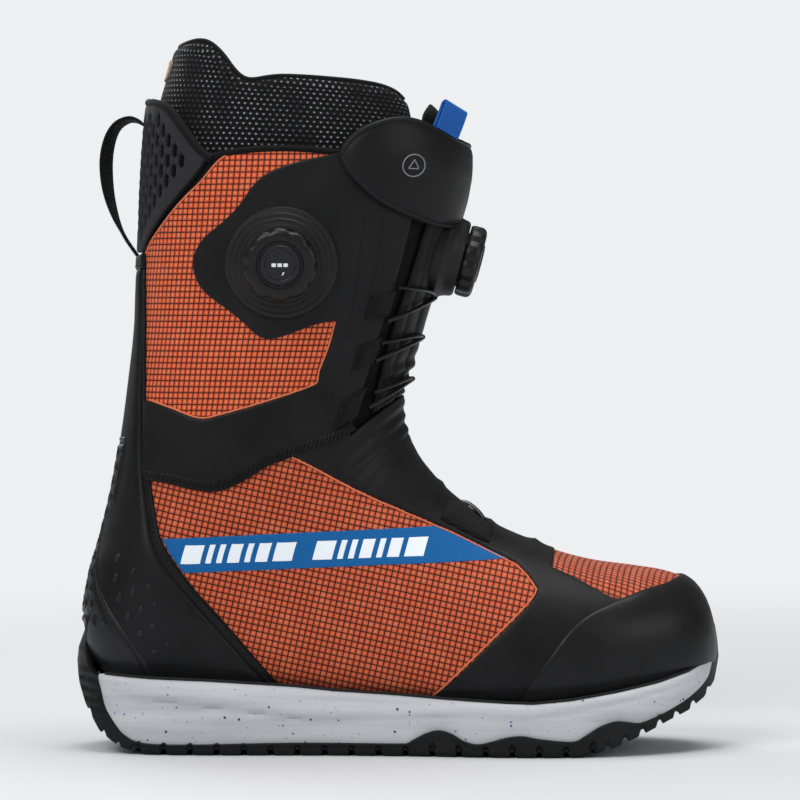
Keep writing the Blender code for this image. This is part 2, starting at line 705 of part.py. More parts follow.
def build_outsole(footprint, seat):
    """The outsole follows the midsole's lower edge and wraps the heel and the toe."""
    under = offset_line(MID_BOTTOM, SOLE_GAP)
    outsole = sole_layer("outsole", under + OUT_HEEL + OUT_TREAD + OUT_TOE, "tread_rubber",
                         footprint, seat)
    # Grooves open at both sides leave rows of lugs across the tread.
    for k, x in enumerate(GROOVES):
        top = GROOVE_HALF - GROOVE_TAPER
        cut(outsole, prism(f"groove_{k}", [
            (x - GROOVE_HALF, UNDER_TREAD), (x + GROOVE_HALF, UNDER_TREAD),
            (x + top, GROOVE_DEPTH), (x - top, GROOVE_DEPTH)]))
    return outsole


def build_gel_pad(outsole, midsole):
    """The heel gel pad, seen through a window in the outsole, ends in a midsole pocket."""
    room = (GEL_X, GEL_HALF_X + INLAY_GAP, GEL_HALF_Y + INLAY_GAP, UNDER_TREAD)
    cut(outsole, ellipse_block("gel_window", *room, 40))
    cut(midsole, ellipse_block("gel_pocket", *room, GEL_TOP + INLAY_GAP))
    ellipse_block("heel_gel_pad", GEL_X, GEL_HALF_X, GEL_HALF_Y, GEL_BOTTOM, GEL_TOP, "gel")


def build_shank(midsole):
    """The shank follows the underside of the body in a pocket in the top of the midsole."""
    count = N_ALONG // 2 + 60  # the rings whose back points run from the toe towards the heel
    us = np.interp(-SHANK_X, -BACK_X[:count], RING_U[:count])
    top = [(x, float(skin_point(u, 0.5)[2]) - SHANK_DEPTH) for x, u in zip(SHANK_X, us)]
    bottom = [(x, z - SHANK) for x, z in reversed(top)]
    prism("sole_shank", top + bottom, -SHANK_HALF, SHANK_HALF, "shank")
    floor = [(x, z - (SHANK + INLAY_GAP)) for x, z in reversed(top)]
    x_toe, x_heel = floor[0][0] + INLAY_GAP, floor[-1][0] - INLAY_GAP
    floor[0] = (x_toe, floor[0][1])
    floor[-1] = (x_heel, floor[-1][1])
    mouth = [(x_heel, top[0][1] + POCKET_RISE), (x_toe, top[-1][1] + POCKET_RISE)]
    half = SHANK_HALF + INLAY_GAP
    cut(midsole, prism("shank_pocket", mouth + floor, -half, half))


def build_sole():
    seat = body_solid("sole_seat", 1.4)
    footprint = build_footprint()
    midsole = sole_layer("midsole", MID_TOP + MID_BOTTOM, "foam", footprint, seat)
    outsole = build_outsole(footprint, seat)
    build_gel_pad(outsole, midsole)
    build_shank(midsole)


# ------------------------------------------------------ foot part, inside out
def build_foot_layers(above_ankle):
    shell = sock("lower_shell", 0.0, U_FOOT_TOP, 26, 22, "black_overlay", 0, SHELL)
    cut(shell, above_ankle)
    liner = sock("liner_foot", 0.072, U_FOOT_TOP, 17, 14, "liner_knit", LINER_IN, LINER)
    cut(liner, above_ankle)


def sole_sheet(name, u0, u1, half_v, widening, slot, inset, thick):
    """A sheet under the foot that widens over its first two steps from the toe."""
    halves = [half_v + widening * min(1, k / 2) for k in range(12)]
    strip(name, np.linspace(u0, u1, 12), halves, slot, inset, thick, nv=6)


def build_foot_sheets():
    sole_sheet("lasting_board", 0.085, 0.40, 0.10, 0.04, "board", inset=3.9, thick=1.0)
    sole_sheet("footbed", 0.095, 0.41, 0.08, 0.012, "footbed_foam",
               inset=LINER_IN + LINER + FOOTBED, thick=FOOTBED)
    strip("heel_stiffener", np.linspace(u_back(68.0), u_back(122.0), 8), [0.10] * 8, "shank",
          inset=4.6, thick=0.7, nv=8)


# --------------------------------------------------------- foot part, panels
# Lateral outlines in the side view, x and z, unless said otherwise.
TOE_EDGE = [(71, 88), (85, 81), (95, 75.5), (101, 73), (105, 73.5), (115, 76.5), (125, 78),
            (131, 81)]
TOE_CAP_BACK = [(71, 85.5), (76, 73), (76, 57), (70, 48), (60, 34), (57, 28.8)]
TOE_CAP_LOW = [(57, 29.8), (80, 30.8), (100, 33.8), (120, 37.8), (133, 42), (140, 47)]
TOE_CAP_TIP = [(0.030, 0.30), (0.012, 0.22), (0.010, 0.12), (0.010, 0.0)]  # u, v
TOE_CAP_GAP = 0.006  # v between the toe panel's outline and the toe cap's
LIP_ROOM = [(137.5, 30), (139.5, 50), (143.4, 62.4), (165, 62.4), (165, 30)]

QUARTER = runs(
    [(-112.2, 126), (-111.5, 115), (-110, 105), (-107, 99), (-100, 90), (-92, 80), (-82, 68),
     (-72, 56), (-62, 45), (-53.5, 36.5)],
    [(-50, 36.8), (-30, 36.0), (-10, 34.6), (12, 33.6)],
    [(30, 42), (45, 57), (60, 71), (64.5, 76.5)],
    [(64.5, 79), (60, 85), (55, 90), (50, 92.5), (30, 103), (15, 110), (0, 117), (-20, 124)],
    [(-40, 118.5)],
    [(-112.2, 132)], gap=10)
STRIPE = runs(
    [(-108, 105), (-60, 106.5), (20, 107.5)],
    [(48, 92.5)],
    [(-20, 91.5), (-98, 90)],
    [(-108, 105)], gap=11)[:-1]

WING_FRONT = [(-114.5, 131), (-114, 120), (-111.5, 105), (-105.5, 96), (-95.5, 82), (-80.5, 65),
              (-66, 47.5), (-54, 38)]
WING_LOW = [(-54, 38), (-70, 39.5), (-100, 41.2), (-125, 44), (-137, 50)]
DIMPLE = [(-134, 125), (-137, 110), (-138.5, 98), (-137, 84), (-132, 74), (-126, 67)]

INSTEP_GUIDE = 2.6   # thickness of the instep guides


def build_toe():
    edge = on_body(smooth_run(TOE_EDGE, 11))[:-1]
    loop = [(u_vamp(76.0), 0.0)] + edge + [(u_vamp(132.0), 0.0)]
    panel("toe_panel", over_top(loop), "orange_ripstop")

    inner_edge = [(u, v + TOE_CAP_GAP) for u, v in reversed(edge)]
    side = on_body(smooth_run(TOE_CAP_BACK, 9)[:-1] + smooth_run(TOE_CAP_LOW, 9))
    loop = [(u_vamp(134.5), 0.0)] + inner_edge + side + TOE_CAP_TIP
    cap = panel("toe_cap", over_top(loop), "black_overlay", mesh_mm=11)
    cut(cap, prism("lip_room", LIP_ROOM))  # clears the outsole's lip at the toe


def build_quarters(above_ankle):
    for side, sign in SIDES:
        mirror = sign < 0
        quarter = panel(f"quarter_panel_{side}", on_body(QUARTER), "orange_ripstop",
                        mirror=mirror)
        cut(quarter, above_ankle)
        panel(f"stripe_{side}", on_body(STRIPE), "blue_tape", off=PANEL_OUT + 0.6, thick=0.5,
              mirror=mirror)


def build_heel(above_ankle):
    """The wing wraps the heel from one quarter panel to the other, with an overlay on it."""
    top = [(u_back(146.0), 0.5)]
    side = on_body(smooth_run(WING_FRONT, 9)[:-1] + smooth_run(WING_LOW, 9))
    low = [(u_back(62.5), 0.455), (u_back(67.0), 0.478), (u_back(68.0), 0.5)]
    wing = panel("heel_wing", round_back(top + side + low), "black_overlay", mesh_mm=9)
    cut(wing, above_ankle)

    top = [(u_back(133.0), 0.5)]
    side = on_body(smooth_run(DIMPLE, 8))
    low = [(u_back(67.5), 0.45), (u_back(68.0), 0.5)]
    panel("heel_dimple_overlay", round_back(top + side + low), "black_overlay",
          off=PANEL_OUT + 0.9, thick=1.0, mesh_mm=7)


def build_instep():
    """A guide either side of the instep and the cable that crosses between them on a slant."""
    for side, sign in SIDES:
        loop = rectangle(u_vamp(24.0), u_vamp(44.0), sign * 0.050, sign * 0.098)
        panel(f"instep_guide_{side}", loop, "black_overlay", thick=INSTEP_GUIDE)
    path = []
    for k in range(9):
        f = k / 8
        path.append(skin_point(u_vamp(28.0 + 12 * f), -0.042 + 0.084 * f,
                               PANEL_IN + INSTEP_GUIDE / 2))
    cable("instep_cable", path)


# --------------------------------------------------------------- the leg part
# Side-view outlines, x and z.
SHELL_TOP = levelled([
    (-135, 309), (-113, 308.5), (-105, 303), (-98, 293), (-90, 283.5), (-80, 283.5), (-60, 284),
    (-28, 282), (0, 283), (45, 283)])
COLLAR_TOP = levelled([
    (-140, 309), (-110, 310), (-105, 325), (-101, 332), (-94, 336.5), (-88, 335), (-82, 329),
    (-77, 321), (-71, 315.5), (-55, 318), (-40, 317), (-20, 315), (-5, 312), (0, 311), (5, 305),
    (15, 300), (60, 297)])

# The edge that the cuff panel and the dial patch share, from the top down.
PATCH_EDGE = [
    (-35, 279), (-45, 277.5), (-55, 275), (-62, 272), (-68, 266), (-72, 260), (-78, 254),
    (-84, 249), (-90, 244), (-94, 238), (-95, 232), (-94, 226), (-90, 219), (-84, 214.5),
    (-78, 210), (-72, 205), (-67, 200), (-63, 197.5), (-58, 197), (-52, 199), (-45, 201.5),
    (-38, 203.5), (-29, 205)]
CUFF = runs(
    [(-116, 233), (-114, 243), (-107.5, 252), (-99.5, 261), (-91.5, 269), (-85, 276),
     (-78, 281), (-72, 283)],
    [(-60, 283.2), (-40, 282.3), (-26, 281)],
    PATCH_EDGE,
    [(-33, 192), (-37, 180), (-38, 175.5)],
    [(-60, 168), (-80, 162.5), (-92, 160.3), (-105, 166), (-115.8, 170)],
    [(-116, 200)], gap=8)
PATCH = runs(
    [(-26, 280.5)] + PATCH_EDGE,
    [(-33, 192), (-38, 175.5)],
    [(-17, 172)],
    [(-14, 190), (-9, 215), (-3.5, 240)],
    [(-26, 280.5)], gap=8)[:-1]
BAND = runs(
    [(-115.8, 168.6), (-105, 164.6), (-92, 158.9), (-80, 161.1), (-60, 166.6), (-38, 174)],
    [(-18, 170.5)],
    [(-22, 158)],
    [(-30, 152), (-40, 149), (-55, 143.5), (-62, 141), (-70, 137), (-78, 135.5), (-95, 136),
     (-115, 139)],
    [(-115.6, 155)], gap=8)
COLLAR = runs(
    [(-107, 305.5), (-99.5, 293), (-91, 282), (-86, 279.5)],
    [(-91, 275), (-101, 264), (-109, 255), (-114.5, 245), (-117, 239)], gap=8)
STAY = [(-117.2, 234), (-117.2, 200), (-117.2, 170), (-116.6, 140)]
PULL_LOOP = levelled([
    (-125.6, 299.2), (-128.5, 300), (-133.5, 296.5), (-136.8, 290), (-138, 280), (-136.8, 268),
    (-133.6, 256), (-130.2, 247), (-127.6, 240.5)])
PULL_LOOP_HALF = (1.2, 7)  # half the webbing's thickness and half its width


def build_cuff_shell(below_ankle):
    cuff = sock("cuff_shell", U_LEG_FOOT, U_SHELL_TOP, 17, 20, "black_overlay", 0, SHELL,
                v0=THROAT_V)
    cut(cuff, below_ankle)
    cut(cuff, prism("above_shell", SHELL_TOP + [(45, HIGH), (-135, HIGH)]))


def build_leg_liner(below_ankle):
    liner = sock("liner_leg", U_LEG_FOOT, 1.0, 17, 16, "liner_knit", LINER_IN, LEG_LINER,
                 v0=LINER_THROAT_V)
    cut(liner, below_ankle)
    cut(liner, prism("above_liner", COLLAR_TOP + [(60, HIGH), (-140, HIGH)]))


def build_cuff_panels(below_ankle):
    for side, sign in SIDES:
        mirror = sign < 0
        panel(f"cuff_panel_{side}", on_body(CUFF), "orange_ripstop", mirror=mirror, mesh_mm=15)
        panel(f"dial_patch_{side}", on_body(PATCH), "black_overlay", mirror=mirror, mesh_mm=15)
        band = panel(f"ankle_band_{side}", on_body(BAND), "black_overlay", thick=THICK_PANEL,
                     mirror=mirror)
        cut(band, below_ankle)


def build_back_panels(below_ankle):
    """The collar panel round the top of the back, and the backstay below it."""
    top = [(u_back(306.0), 0.5), (u_back(305.0), 0.46)]
    panel("collar_panel", round_back(top + on_body(COLLAR) + [(u_back(236.5), 0.5)]),
          "collar_mesh", thick=THICK_PANEL)
    side = on_body(smooth_run(STAY, 10))
    stay = panel("backstay", round_back([(u_back(233.5), 0.5)] + side + [(u_back(132.0), 0.5)]),
                 "black_overlay", thick=THICK_PANEL)
    cut(stay, below_ankle)


def build_pull_loop():
    half_thick, half_wide = PULL_LOOP_HALF
    line = smooth_run(PULL_LOOP, 5)
    ribbon = offset_line(line, half_thick) + offset_line(line, -half_thick)[::-1]
    prism("pull_loop", ribbon, -half_wide, half_wide, "webbing")


def build_label():
    """A small label sits on the back of the liner's raised collar."""
    across = np.linspace(0.5 - 0.035, 0.5 + 0.035, 5)
    points = []
    for z in (313.0, 318.0, 323.0):
        points += shrunk(np.full(5, u_back(z)), across, LINER_IN - 0.5).tolist()
    thicken(put("liner_label", points, grid_faces(3, 5), "label"), 0.8)


# ---------------------------------------------------------------- the tongue
U_CREASE = u_front(168.0)
CREASE = skin_point(U_CREASE, 0.0, 0.6)  # origin of both tongues, at the foot of the tongue

# Tongue cap outline on the lateral side, over its top and back down, x and z.
CAP_TOP = [(22, 289), (15, 293), (8, 296.5), (0, 298), (-8, 297), (-18, 293), (-25, 287),
           (-28, 281)]
CAP_LOW = [(-28, 281), (-22, 270), (-10, 259), (4, 252.5), (15, 248)]


def tongue_sheet(name, slot, surface, offset, thick, u0, u1, half_v, top_rise=0.0):
    """A sheet up the front of the leg, on skin or shrunk by offset, thickened inwards.

    top_rise lifts the top corners, in u.
    """
    nu, nv = 10, 7
    uu, vv = np.meshgrid(np.linspace(u0, u1, nu), np.linspace(-half_v, half_v, nv), indexing="ij")
    most = TONGUE_ARC * half_v / TONGUE_V / at_ring(uu, PERIMETER)
    vv = vv * np.minimum(1, most / half_v)
    uu = uu + top_rise * np.abs(vv / half_v) ** 1.5 * ((uu - u0) / (u1 - u0)) ** 3
    points = surface(uu, vv, offset).reshape(-1, 3)
    thicken(put(name, points, grid_faces(nu, nv), slot, origin=CREASE), thick, out=False)


def build_tongue():
    tongue_sheet("tongue", "black_overlay", skin, 0.4, 3.0,
                 U_CREASE + 0.003, u_front(281.0), TONGUE_V)
    tongue_sheet("liner_tongue", "liner_knit", shrunk, 4.8, 5.5,
                 U_CREASE + 0.006, u_front(297.0), LINER_TONGUE_V, top_rise=0.012)
    side = on_body(smooth_run(CAP_TOP, 8)[:-1] + smooth_run(CAP_LOW, 8))
    loop = [(u_front(284.0), 0.0)] + side + [(u_front(246.0), 0.0)]
    panel("tongue_cap", over_top(loop), "black_overlay", off=3.7, mesh_mm=12)


# ---------------------------------------------------- throat guides and cable
# Height at the front, and how far the cable reaches either side in v.
THROAT_LEVELS = (("upper", 216.0, THROAT_V), ("middle", 197.0, THROAT_V), ("lower", 178.0, 0.094))
GUIDE_HALF = 4.0                  # half height of a throat guide
GUIDE_V = (0.003, 0.030)          # its two edges beyond the opening, in v
CABLE_OFF, CABLE_RISE = 2.2, 1.2  # cable above the body, and its extra rise at either end


def build_throat():
    for label, z, _ in THROAT_LEVELS:
        u0, u1 = u_front(z - GUIDE_HALF), u_front(z + GUIDE_HALF)
        v0, v1 = (THROAT_V + v for v in GUIDE_V)
        for side, sign in SIDES:
            panel(f"throat_guide_{label}_{side}", rectangle(u0, u1, sign * v0, sign * v1),
                  "dial_inner", off=PANEL_OUT + 0.5, thick=2.0, inset=0.2)
    for label, z, reach in THROAT_LEVELS:
        path = []
        for k in range(13):
            off = CABLE_OFF + (CABLE_RISE if abs(k - 6) > 4 else 0)
            path.append(skin_point(u_front(z), -reach + 2 * reach * k / 12, off))
        cable(f"throat_cable_{label}", path)


# ------------------------------------------------------------------ the dials
SIDE_DIAL = (-54.0, 232.0)   # side view
SIDE_DIAL_LIFT = PANEL_OUT + 1.6
FRONT_DIAL_Z = 235.0
FRONT_DIAL_LIFT = 5.6
FRONT_DIAL_TILT = 15         # degrees its axis points below level
KNOB_R = 17.0
BASE_R = 20.5
KNOB_LOBES, LOBE_DEPTH = 8, 0.035
GEAR_STEPS, TOOTH_DEPTH = 36, 0.05

# Turned profiles, radius and height above the dial's seat plane.
BASE_PROFILE = [(0, 6.4), (2.4, 6.4), (2.4, 1.6), (15.6, 1.6), (15.6, 5.2), (18.0, 5.2),
                (BASE_R, 2.0), (BASE_R, -12.0), (0, -12.0)]
SCREW_PROFILE = [(0, 9.4), (3.4, 9.4), (3.8, 8.6), (3.8, 6.9), (0, 6.9)]
SPOOL_PROFILE = [(12.6, 4.9), (13.2, 4.6), (13.2, 4.2), (10.0, 3.7), (10.0, 2.9), (13.2, 2.4),
                 (13.2, 2.0), (2.8, 2.0), (2.8, 4.9)]
GEAR_PROFILE = [(14.0, 6.6), (14.0, 5.3), (4.4, 5.3), (4.4, 6.6)]
KNOB_PROFILE = [(0, 14.2), (KNOB_R - 3, 14.2), (KNOB_R - 1, 13.2), (KNOB_R, 11.6), (KNOB_R, 7.0),
                (KNOB_R - 0.8, 6.0), (15.0, 6.0), (15.0, 10.4), (14.2, 11.6), (0, 11.6)]
KNOB_CAP_PROFILE = [(0, 15.3), (8.6, 15.3), (9.4, 14.9), (9.4, 14.5), (0, 14.5)]


def knob_lobes(angle, r):
    """Hollows between lobes, round the rim only."""
    if r < KNOB_R - 1.2:
        return 1.0
    return 1.0 - LOBE_DEPTH * (0.5 + 0.5 * math.cos(KNOB_LOBES * angle))


def gear_teeth(angle, r):
    """Every other step of the outer rim is drawn in."""
    gap = r > 10 and round(angle / (2 * math.pi) * GEAR_STEPS) % 2
    return 1.0 - (TOOTH_DEPTH if gap else 0)


def dial(prefix, where, seat):
    """Base and screw stay on the boot; spool, gear, knob and knob cap turn."""
    base = turned(f"{prefix}_dial_base", BASE_PROFILE, "dial_plastic", where, steps=24)
    cut(base, seat)
    turned(f"{prefix}_dial_screw", SCREW_PROFILE, "steel", where, steps=12)
    turned(f"{prefix}_spool", SPOOL_PROFILE, "dial_inner", where)
    turned(f"{prefix}_drive_gear", GEAR_PROFILE, "dial_inner", where, steps=GEAR_STEPS,
           shape=gear_teeth)
    turned(f"{prefix}_knob", KNOB_PROFILE, "dial_plastic", where, steps=32, shape=knob_lobes)
    turned(f"{prefix}_knob_cap", KNOB_CAP_PROFILE, "dial_inner", where)


def build_dials():
    u, v = uv(*SIDE_DIAL)
    spot = skin_point(u, v)
    axis = skin_point(u, v, 1.0) - spot
    axis = axis / np.linalg.norm(axis)
    patch_seat = body_solid("patch_seat", PANEL_OUT + 0.4)
    dial("side", frame_at(spot + axis * SIDE_DIAL_LIFT, axis), patch_seat)

    spot = skin_point(u_front(FRONT_DIAL_Z), 0.0)
    tilt = math.radians(FRONT_DIAL_TILT)
    axis = np.array([math.cos(tilt), 0, -math.sin(tilt)])
    cap_seat = body_solid("cap_seat", 5.5)
    dial("front", frame_at(spot + axis * FRONT_DIAL_LIFT, axis), cap_seat)


# --------------------------------------------------------------- the pull tab
TAB_FOOT, TAB_ALONG = (19.0, 291.0), (12.5, 294.5)  # two points on the cap's edge, side view
TAB_OFF = 3.4
# One side's corners: place along the cap's edge, rise from it, and half thickness there.
TAB = [(-7, 1.7, 1.3), (7, 1.7, 1.3), (7, 12.5, 1.3), (6.2, 14.5, 0.6), (-6.2, 14.5, 0.6),
       (-7, 12.5, 1.3)]


def build_pull_tab():
    """The webbing tab stands on the tongue cap's upper edge, its origin on that edge."""
    u, v = uv(*TAB_FOOT)
    foot = skin_point(u, v, TAB_OFF)
    normal = foot - skin_point(u, v, TAB_OFF - 1)
    normal /= np.linalg.norm(normal)
    along = foot - skin_point(*uv(*TAB_ALONG), TAB_OFF)
    along -= normal * along.dot(normal)
    along /= np.linalg.norm(along)
    rise = np.cross(along, normal)
    if rise[2] < 0:
        along, rise = -along, -rise
    corners = [foot + along * a + rise * r + normal * (side * half)
               for side in (-1, 1) for a, r, half in TAB]
    n = len(TAB)
    put("pull_tab", corners, end_caps(2, n) + grid_faces(2, n, closed=True), "blue_webbing",
        smooth=False, origin=foot)


def build_boot():
    above_ankle = ankle_cutter("above_ankle", FLEX_GAP[0], -JOINT_LAP, HIGH)
    below_ankle = ankle_cutter("below_ankle", FLEX_GAP[1], JOINT_LAP, LOW)
    build_sole()
    build_foot_layers(above_ankle)
    build_foot_sheets()
    build_toe()
    build_quarters(above_ankle)
    build_heel(above_ankle)
    build_instep()
    build_cuff_shell(below_ankle)
    build_leg_liner(below_ankle)
    build_cuff_panels(below_ankle)
    build_back_panels(below_ankle)
    build_pull_loop()
    build_label()
    build_tongue()
    build_throat()
    build_dials()
    build_pull_tab()


build_boot()
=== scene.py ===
"""Looks of a right-foot snowboard boot: every visible surface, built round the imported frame.

X points to the toe, -Y to the outer (lateral) side and Z up, with the ground at z = 0. Lengths
are millimetres until a mesh is made. The boot's body is a sock of rings. A place on it is (u, v):
u runs 0..1 from the toe tip round the heel and up the leg; v runs 0..1 round a ring, 0 at its
front or top and 0.5 at its back or bottom, lateral below 0.5.
"""

import json
import math

import bmesh
import bpy
import numpy as np
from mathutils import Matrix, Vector
from mathutils.bvhtree import BVHTree
from mathutils.geometry import delaunay_2d_cdt
from mathutils.kdtree import KDTree

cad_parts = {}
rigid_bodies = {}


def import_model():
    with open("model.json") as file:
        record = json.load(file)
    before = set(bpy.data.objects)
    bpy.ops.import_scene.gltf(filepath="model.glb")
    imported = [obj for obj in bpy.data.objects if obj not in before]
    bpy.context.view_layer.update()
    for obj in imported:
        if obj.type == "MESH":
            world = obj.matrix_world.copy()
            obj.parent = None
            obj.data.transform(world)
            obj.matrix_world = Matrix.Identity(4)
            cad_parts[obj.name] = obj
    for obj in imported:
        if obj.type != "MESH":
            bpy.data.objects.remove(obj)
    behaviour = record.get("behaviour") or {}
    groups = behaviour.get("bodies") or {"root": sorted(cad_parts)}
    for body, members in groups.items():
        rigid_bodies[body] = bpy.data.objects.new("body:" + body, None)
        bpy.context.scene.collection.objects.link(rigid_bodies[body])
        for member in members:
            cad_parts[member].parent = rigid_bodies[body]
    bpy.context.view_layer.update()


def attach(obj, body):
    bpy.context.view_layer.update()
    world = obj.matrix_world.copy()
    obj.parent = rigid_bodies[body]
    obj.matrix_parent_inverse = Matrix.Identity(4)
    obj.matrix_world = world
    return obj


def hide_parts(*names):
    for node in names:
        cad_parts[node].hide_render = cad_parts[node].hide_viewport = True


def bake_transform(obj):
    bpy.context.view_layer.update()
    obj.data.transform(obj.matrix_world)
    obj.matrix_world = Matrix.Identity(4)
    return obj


MM = 0.001
for old in list(bpy.data.objects):
    bpy.data.objects.remove(old, do_unlink=True)

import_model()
SIDES = (("lateral", False), ("medial", True))  # name, whether mirrored
V_SIDES = (("lateral", 1), ("medial", -1))  # name, sign of v counted from the front
# Bodies at the ankle, and where a bend between them would begin and end, in metres; fit only fixes
# pieces given this in place.
ANKLE = ("foot", "cuff", (-0.040, 0.0, 0.100), (-0.040, 0.0, 0.165))

# ------------------------------------------------------------ the boot's body
# Columns: front or top point x, z; back or bottom point x, z; side shift; lateral and medial
# half widths; where the ring is widest, as a share; squareness of front and back halves.
RINGS = [
    (149.0,  42.5, 148.6,  40.0, 5.0,  4.0,  4.0, .50, 2.0, 2.0),
    (148.6,  52.0, 147.0,  36.5, 5.0, 14.5, 14.5, .55, 2.1, 2.3),
    (147.0,  61.0, 144.5,  34.5, 5.0, 21.5, 21.0, .60, 2.2, 2.5),
    (143.5,  70.5, 140.0,  32.5, 4.6, 29.0, 27.5, .62, 2.2, 2.7),
    (137.5,  78.0, 132.5,  31.0, 4.2, 36.5, 34.0, .64, 2.2, 2.9),
    (127.0,  82.8, 121.0,  29.0, 3.6, 44.0, 40.5, .66, 2.2, 3.1),
    (110.0,  86.2, 102.0,  27.0, 2.8, 52.0, 46.8, .68, 2.2, 3.3),
    ( 90.0,  89.6,  81.0,  25.0, 1.8, 56.3, 50.2, .70, 2.2, 3.4),
    ( 70.0,  95.6,  58.0,  24.0, 0.8, 56.8, 50.2, .71, 2.2, 3.5),
    ( 50.0, 104.0,  32.0,  24.0, 0.2, 54.8, 47.2, .72, 2.2, 3.5),
    ( 35.0, 113.4,   4.0,  25.5, 0.0, 51.3, 44.2, .71, 2.2, 3.5),
    ( 21.0, 125.0, -28.0,  28.0, 0.0, 48.6, 43.4, .68, 2.2, 3.5),
    ( 11.0, 136.5, -64.0,  31.0, 0.0, 47.2, 44.0, .64, 2.2, 3.4),
    (  5.0, 147.5,-104.0,  34.0, 0.0, 46.6, 45.2, .59, 2.2, 3.2),
    (  2.3, 156.0,-136.0,  42.0, 0.0, 46.8, 46.0, .55, 2.2, 2.9),
    (  1.5, 163.5,-147.2,  60.0, 0.0, 47.0, 46.5, .52, 2.2, 2.5),
    (  2.0, 171.0,-145.2,  84.0, 0.0, 47.2, 47.0, .50, 2.2, 2.4),
    (  3.5, 178.5,-139.4, 105.0, 0.0, 47.2, 47.2, .49, 2.2, 2.3),
    (  5.5, 187.0,-133.6, 128.0, 0.0, 47.4, 47.4, .48, 2.2, 2.3),
    (  8.5, 198.0,-129.5, 152.0, 0.0, 48.2, 48.2, .48, 2.2, 2.3),
    ( 12.0, 210.0,-126.0, 178.0, 0.0, 49.6, 49.6, .48, 2.2, 2.3),
    ( 16.5, 223.0,-123.3, 203.0, 0.0, 51.2, 51.2, .48, 2.2, 2.3),
    ( 20.8, 236.0,-122.2, 226.0, 0.0, 52.8, 52.8, .48, 2.2, 2.3),
    ( 24.6, 250.0,-121.3, 248.0, 0.0, 54.2, 54.2, .48, 2.2, 2.3),
    ( 27.6, 265.0,-120.6, 268.0, 0.0, 55.2, 55.2, .48, 2.2, 2.3),
    ( 29.6, 280.0,-119.6, 288.0, 0.0, 56.0, 56.0, .48, 2.2, 2.3),
    ( 28.5, 294.0,-117.6, 306.0, 0.0, 56.0, 56.0, .48, 2.2, 2.3),
    ( 25.0, 308.0,-114.0, 323.0, 0.0, 55.0, 55.0, .48, 2.2, 2.3),
    ( 21.0, 322.0,-110.0, 340.0, 0.0, 53.0, 53.0, .48, 2.2, 2.3),
]
OUTLINE_LEAN, OUTLINE_LIFT = 0.02, 3.0
NU, NV = 481, 401  # rows along the sock and points round each


def level(x, z):
    """The outline heights lean one part in fifty; this sets the sole level on the ground."""
    return z + OUTLINE_LEAN * x - OUTLINE_LIFT


def levelled(points):
    return [(x, level(x, z)) for x, z in points]


def unit(vectors):
    return vectors / np.maximum(np.linalg.norm(vectors, axis=-1), 1e-9)[..., None]


def run_length(points):
    """How far along a line each of its points is."""
    return np.concatenate([[0], np.cumsum(np.linalg.norm(np.diff(points, axis=0), axis=1))])


def resample(rows, old, new):
    """Rows known at the old stations, read at the new ones."""
    return np.stack([np.interp(new, old, rows[:, k]) for k in range(rows.shape[1])], -1)


def ease(share):
    share = np.clip(share, 0, 1)
    return share * share * (3 - 2 * share)


def spline(points, at):
    """Catmull-Rom through rows of points, read at stations counted in rows."""
    rows = np.asarray(points, float)
    n = len(rows)
    at = np.clip(np.asarray(at, float), 0, n - 1 - 1e-9)
    i = np.floor(at).astype(int)
    f = (at - i)[..., None]
    a, b = rows[np.maximum(i - 1, 0)], rows[i]
    c, d = rows[np.minimum(i + 1, n - 1)], rows[np.minimum(i + 2, n - 1)]
    return 0.5 * (2 * b + (c - a) * f + (2 * a - 5 * b + 4 * c - d) * f**2
                  + (3 * b - a - 3 * c + d) * f**3)


def ring_table():
    """Points, normals and front-to-back shares on even rings, the ring rows, and the length."""
    stations = np.linspace(0, len(RINGS) - 1, 2401)
    fine = spline(RINGS, stations)
    step = 0.5 * (np.hypot(*np.diff(fine[:, :2], axis=0).T)
                  + np.hypot(*np.diff(fine[:, 2:4], axis=0).T))
    along = np.concatenate([[0], np.cumsum(step)])
    rings = spline(RINGS, np.interp(np.linspace(0, along[-1], NU), along, stations))
    place = np.zeros((NU, NV, 3))
    share = np.zeros((NU, NV))
    phi = np.linspace(0, math.pi, 721)
    cos, sin = np.cos(phi), np.sin(phi)
    half = NV // 2
    for i in range(NU):
        fx, fz, bx, bz, shift, lateral, medial, widest, front_power, back_power = rings[i]
        fz, bz = level(fx, fz), level(bx, bz)
        power = 2 / np.where(cos > 0, front_power, back_power)
        out = np.abs(sin) ** power
        across = np.where(cos > 0, widest * (1 - np.abs(cos) ** power),
                          widest + (1 - widest) * np.abs(cos) ** power)
        for side, width in ((-1, lateral), (1, medial)):
            line = np.stack([fx + (bx - fx) * across, shift + side * width * out,
                             fz + (bz - fz) * across], 1)
            run = run_length(line)
            stops = np.linspace(0, run[-1], half + 1)
            line, shares = resample(line, run, stops), np.interp(stops, run, across)
            if side < 0:
                place[i, : half + 1], share[i, : half + 1] = line, shares
            else:
                place[i, half:], share[i, half:] = line[::-1], shares[::-1]
    du, dv = np.gradient(place, axis=0), np.gradient(place, axis=1)
    dv[:, 0] = dv[:, -1] = (place[:, 1] - place[:, -2]) / 2
    normal = unit(np.cross(du, dv))
    middle = place[:, :-1].mean(axis=1)[:, None]
    if ((place - middle) * normal).sum() < 0:
        normal = -normal
    return place, normal, share, rings, along[-1]


PLACE, NORMAL, SHARE, RING, LENGTH = ring_table()
ROW_U = np.linspace(0, 1, NU)
FRONT_Z = level(RING[:, 0], RING[:, 1])
BACK_Z = level(RING[:, 2], RING[:, 3])
AROUND = np.linalg.norm(np.diff(PLACE, axis=1), axis=2).sum(axis=1)


def ring_arc(u):
    """The girth of ring u."""
    return np.interp(np.asarray(u) * (NU - 1), np.arange(NU), AROUND)


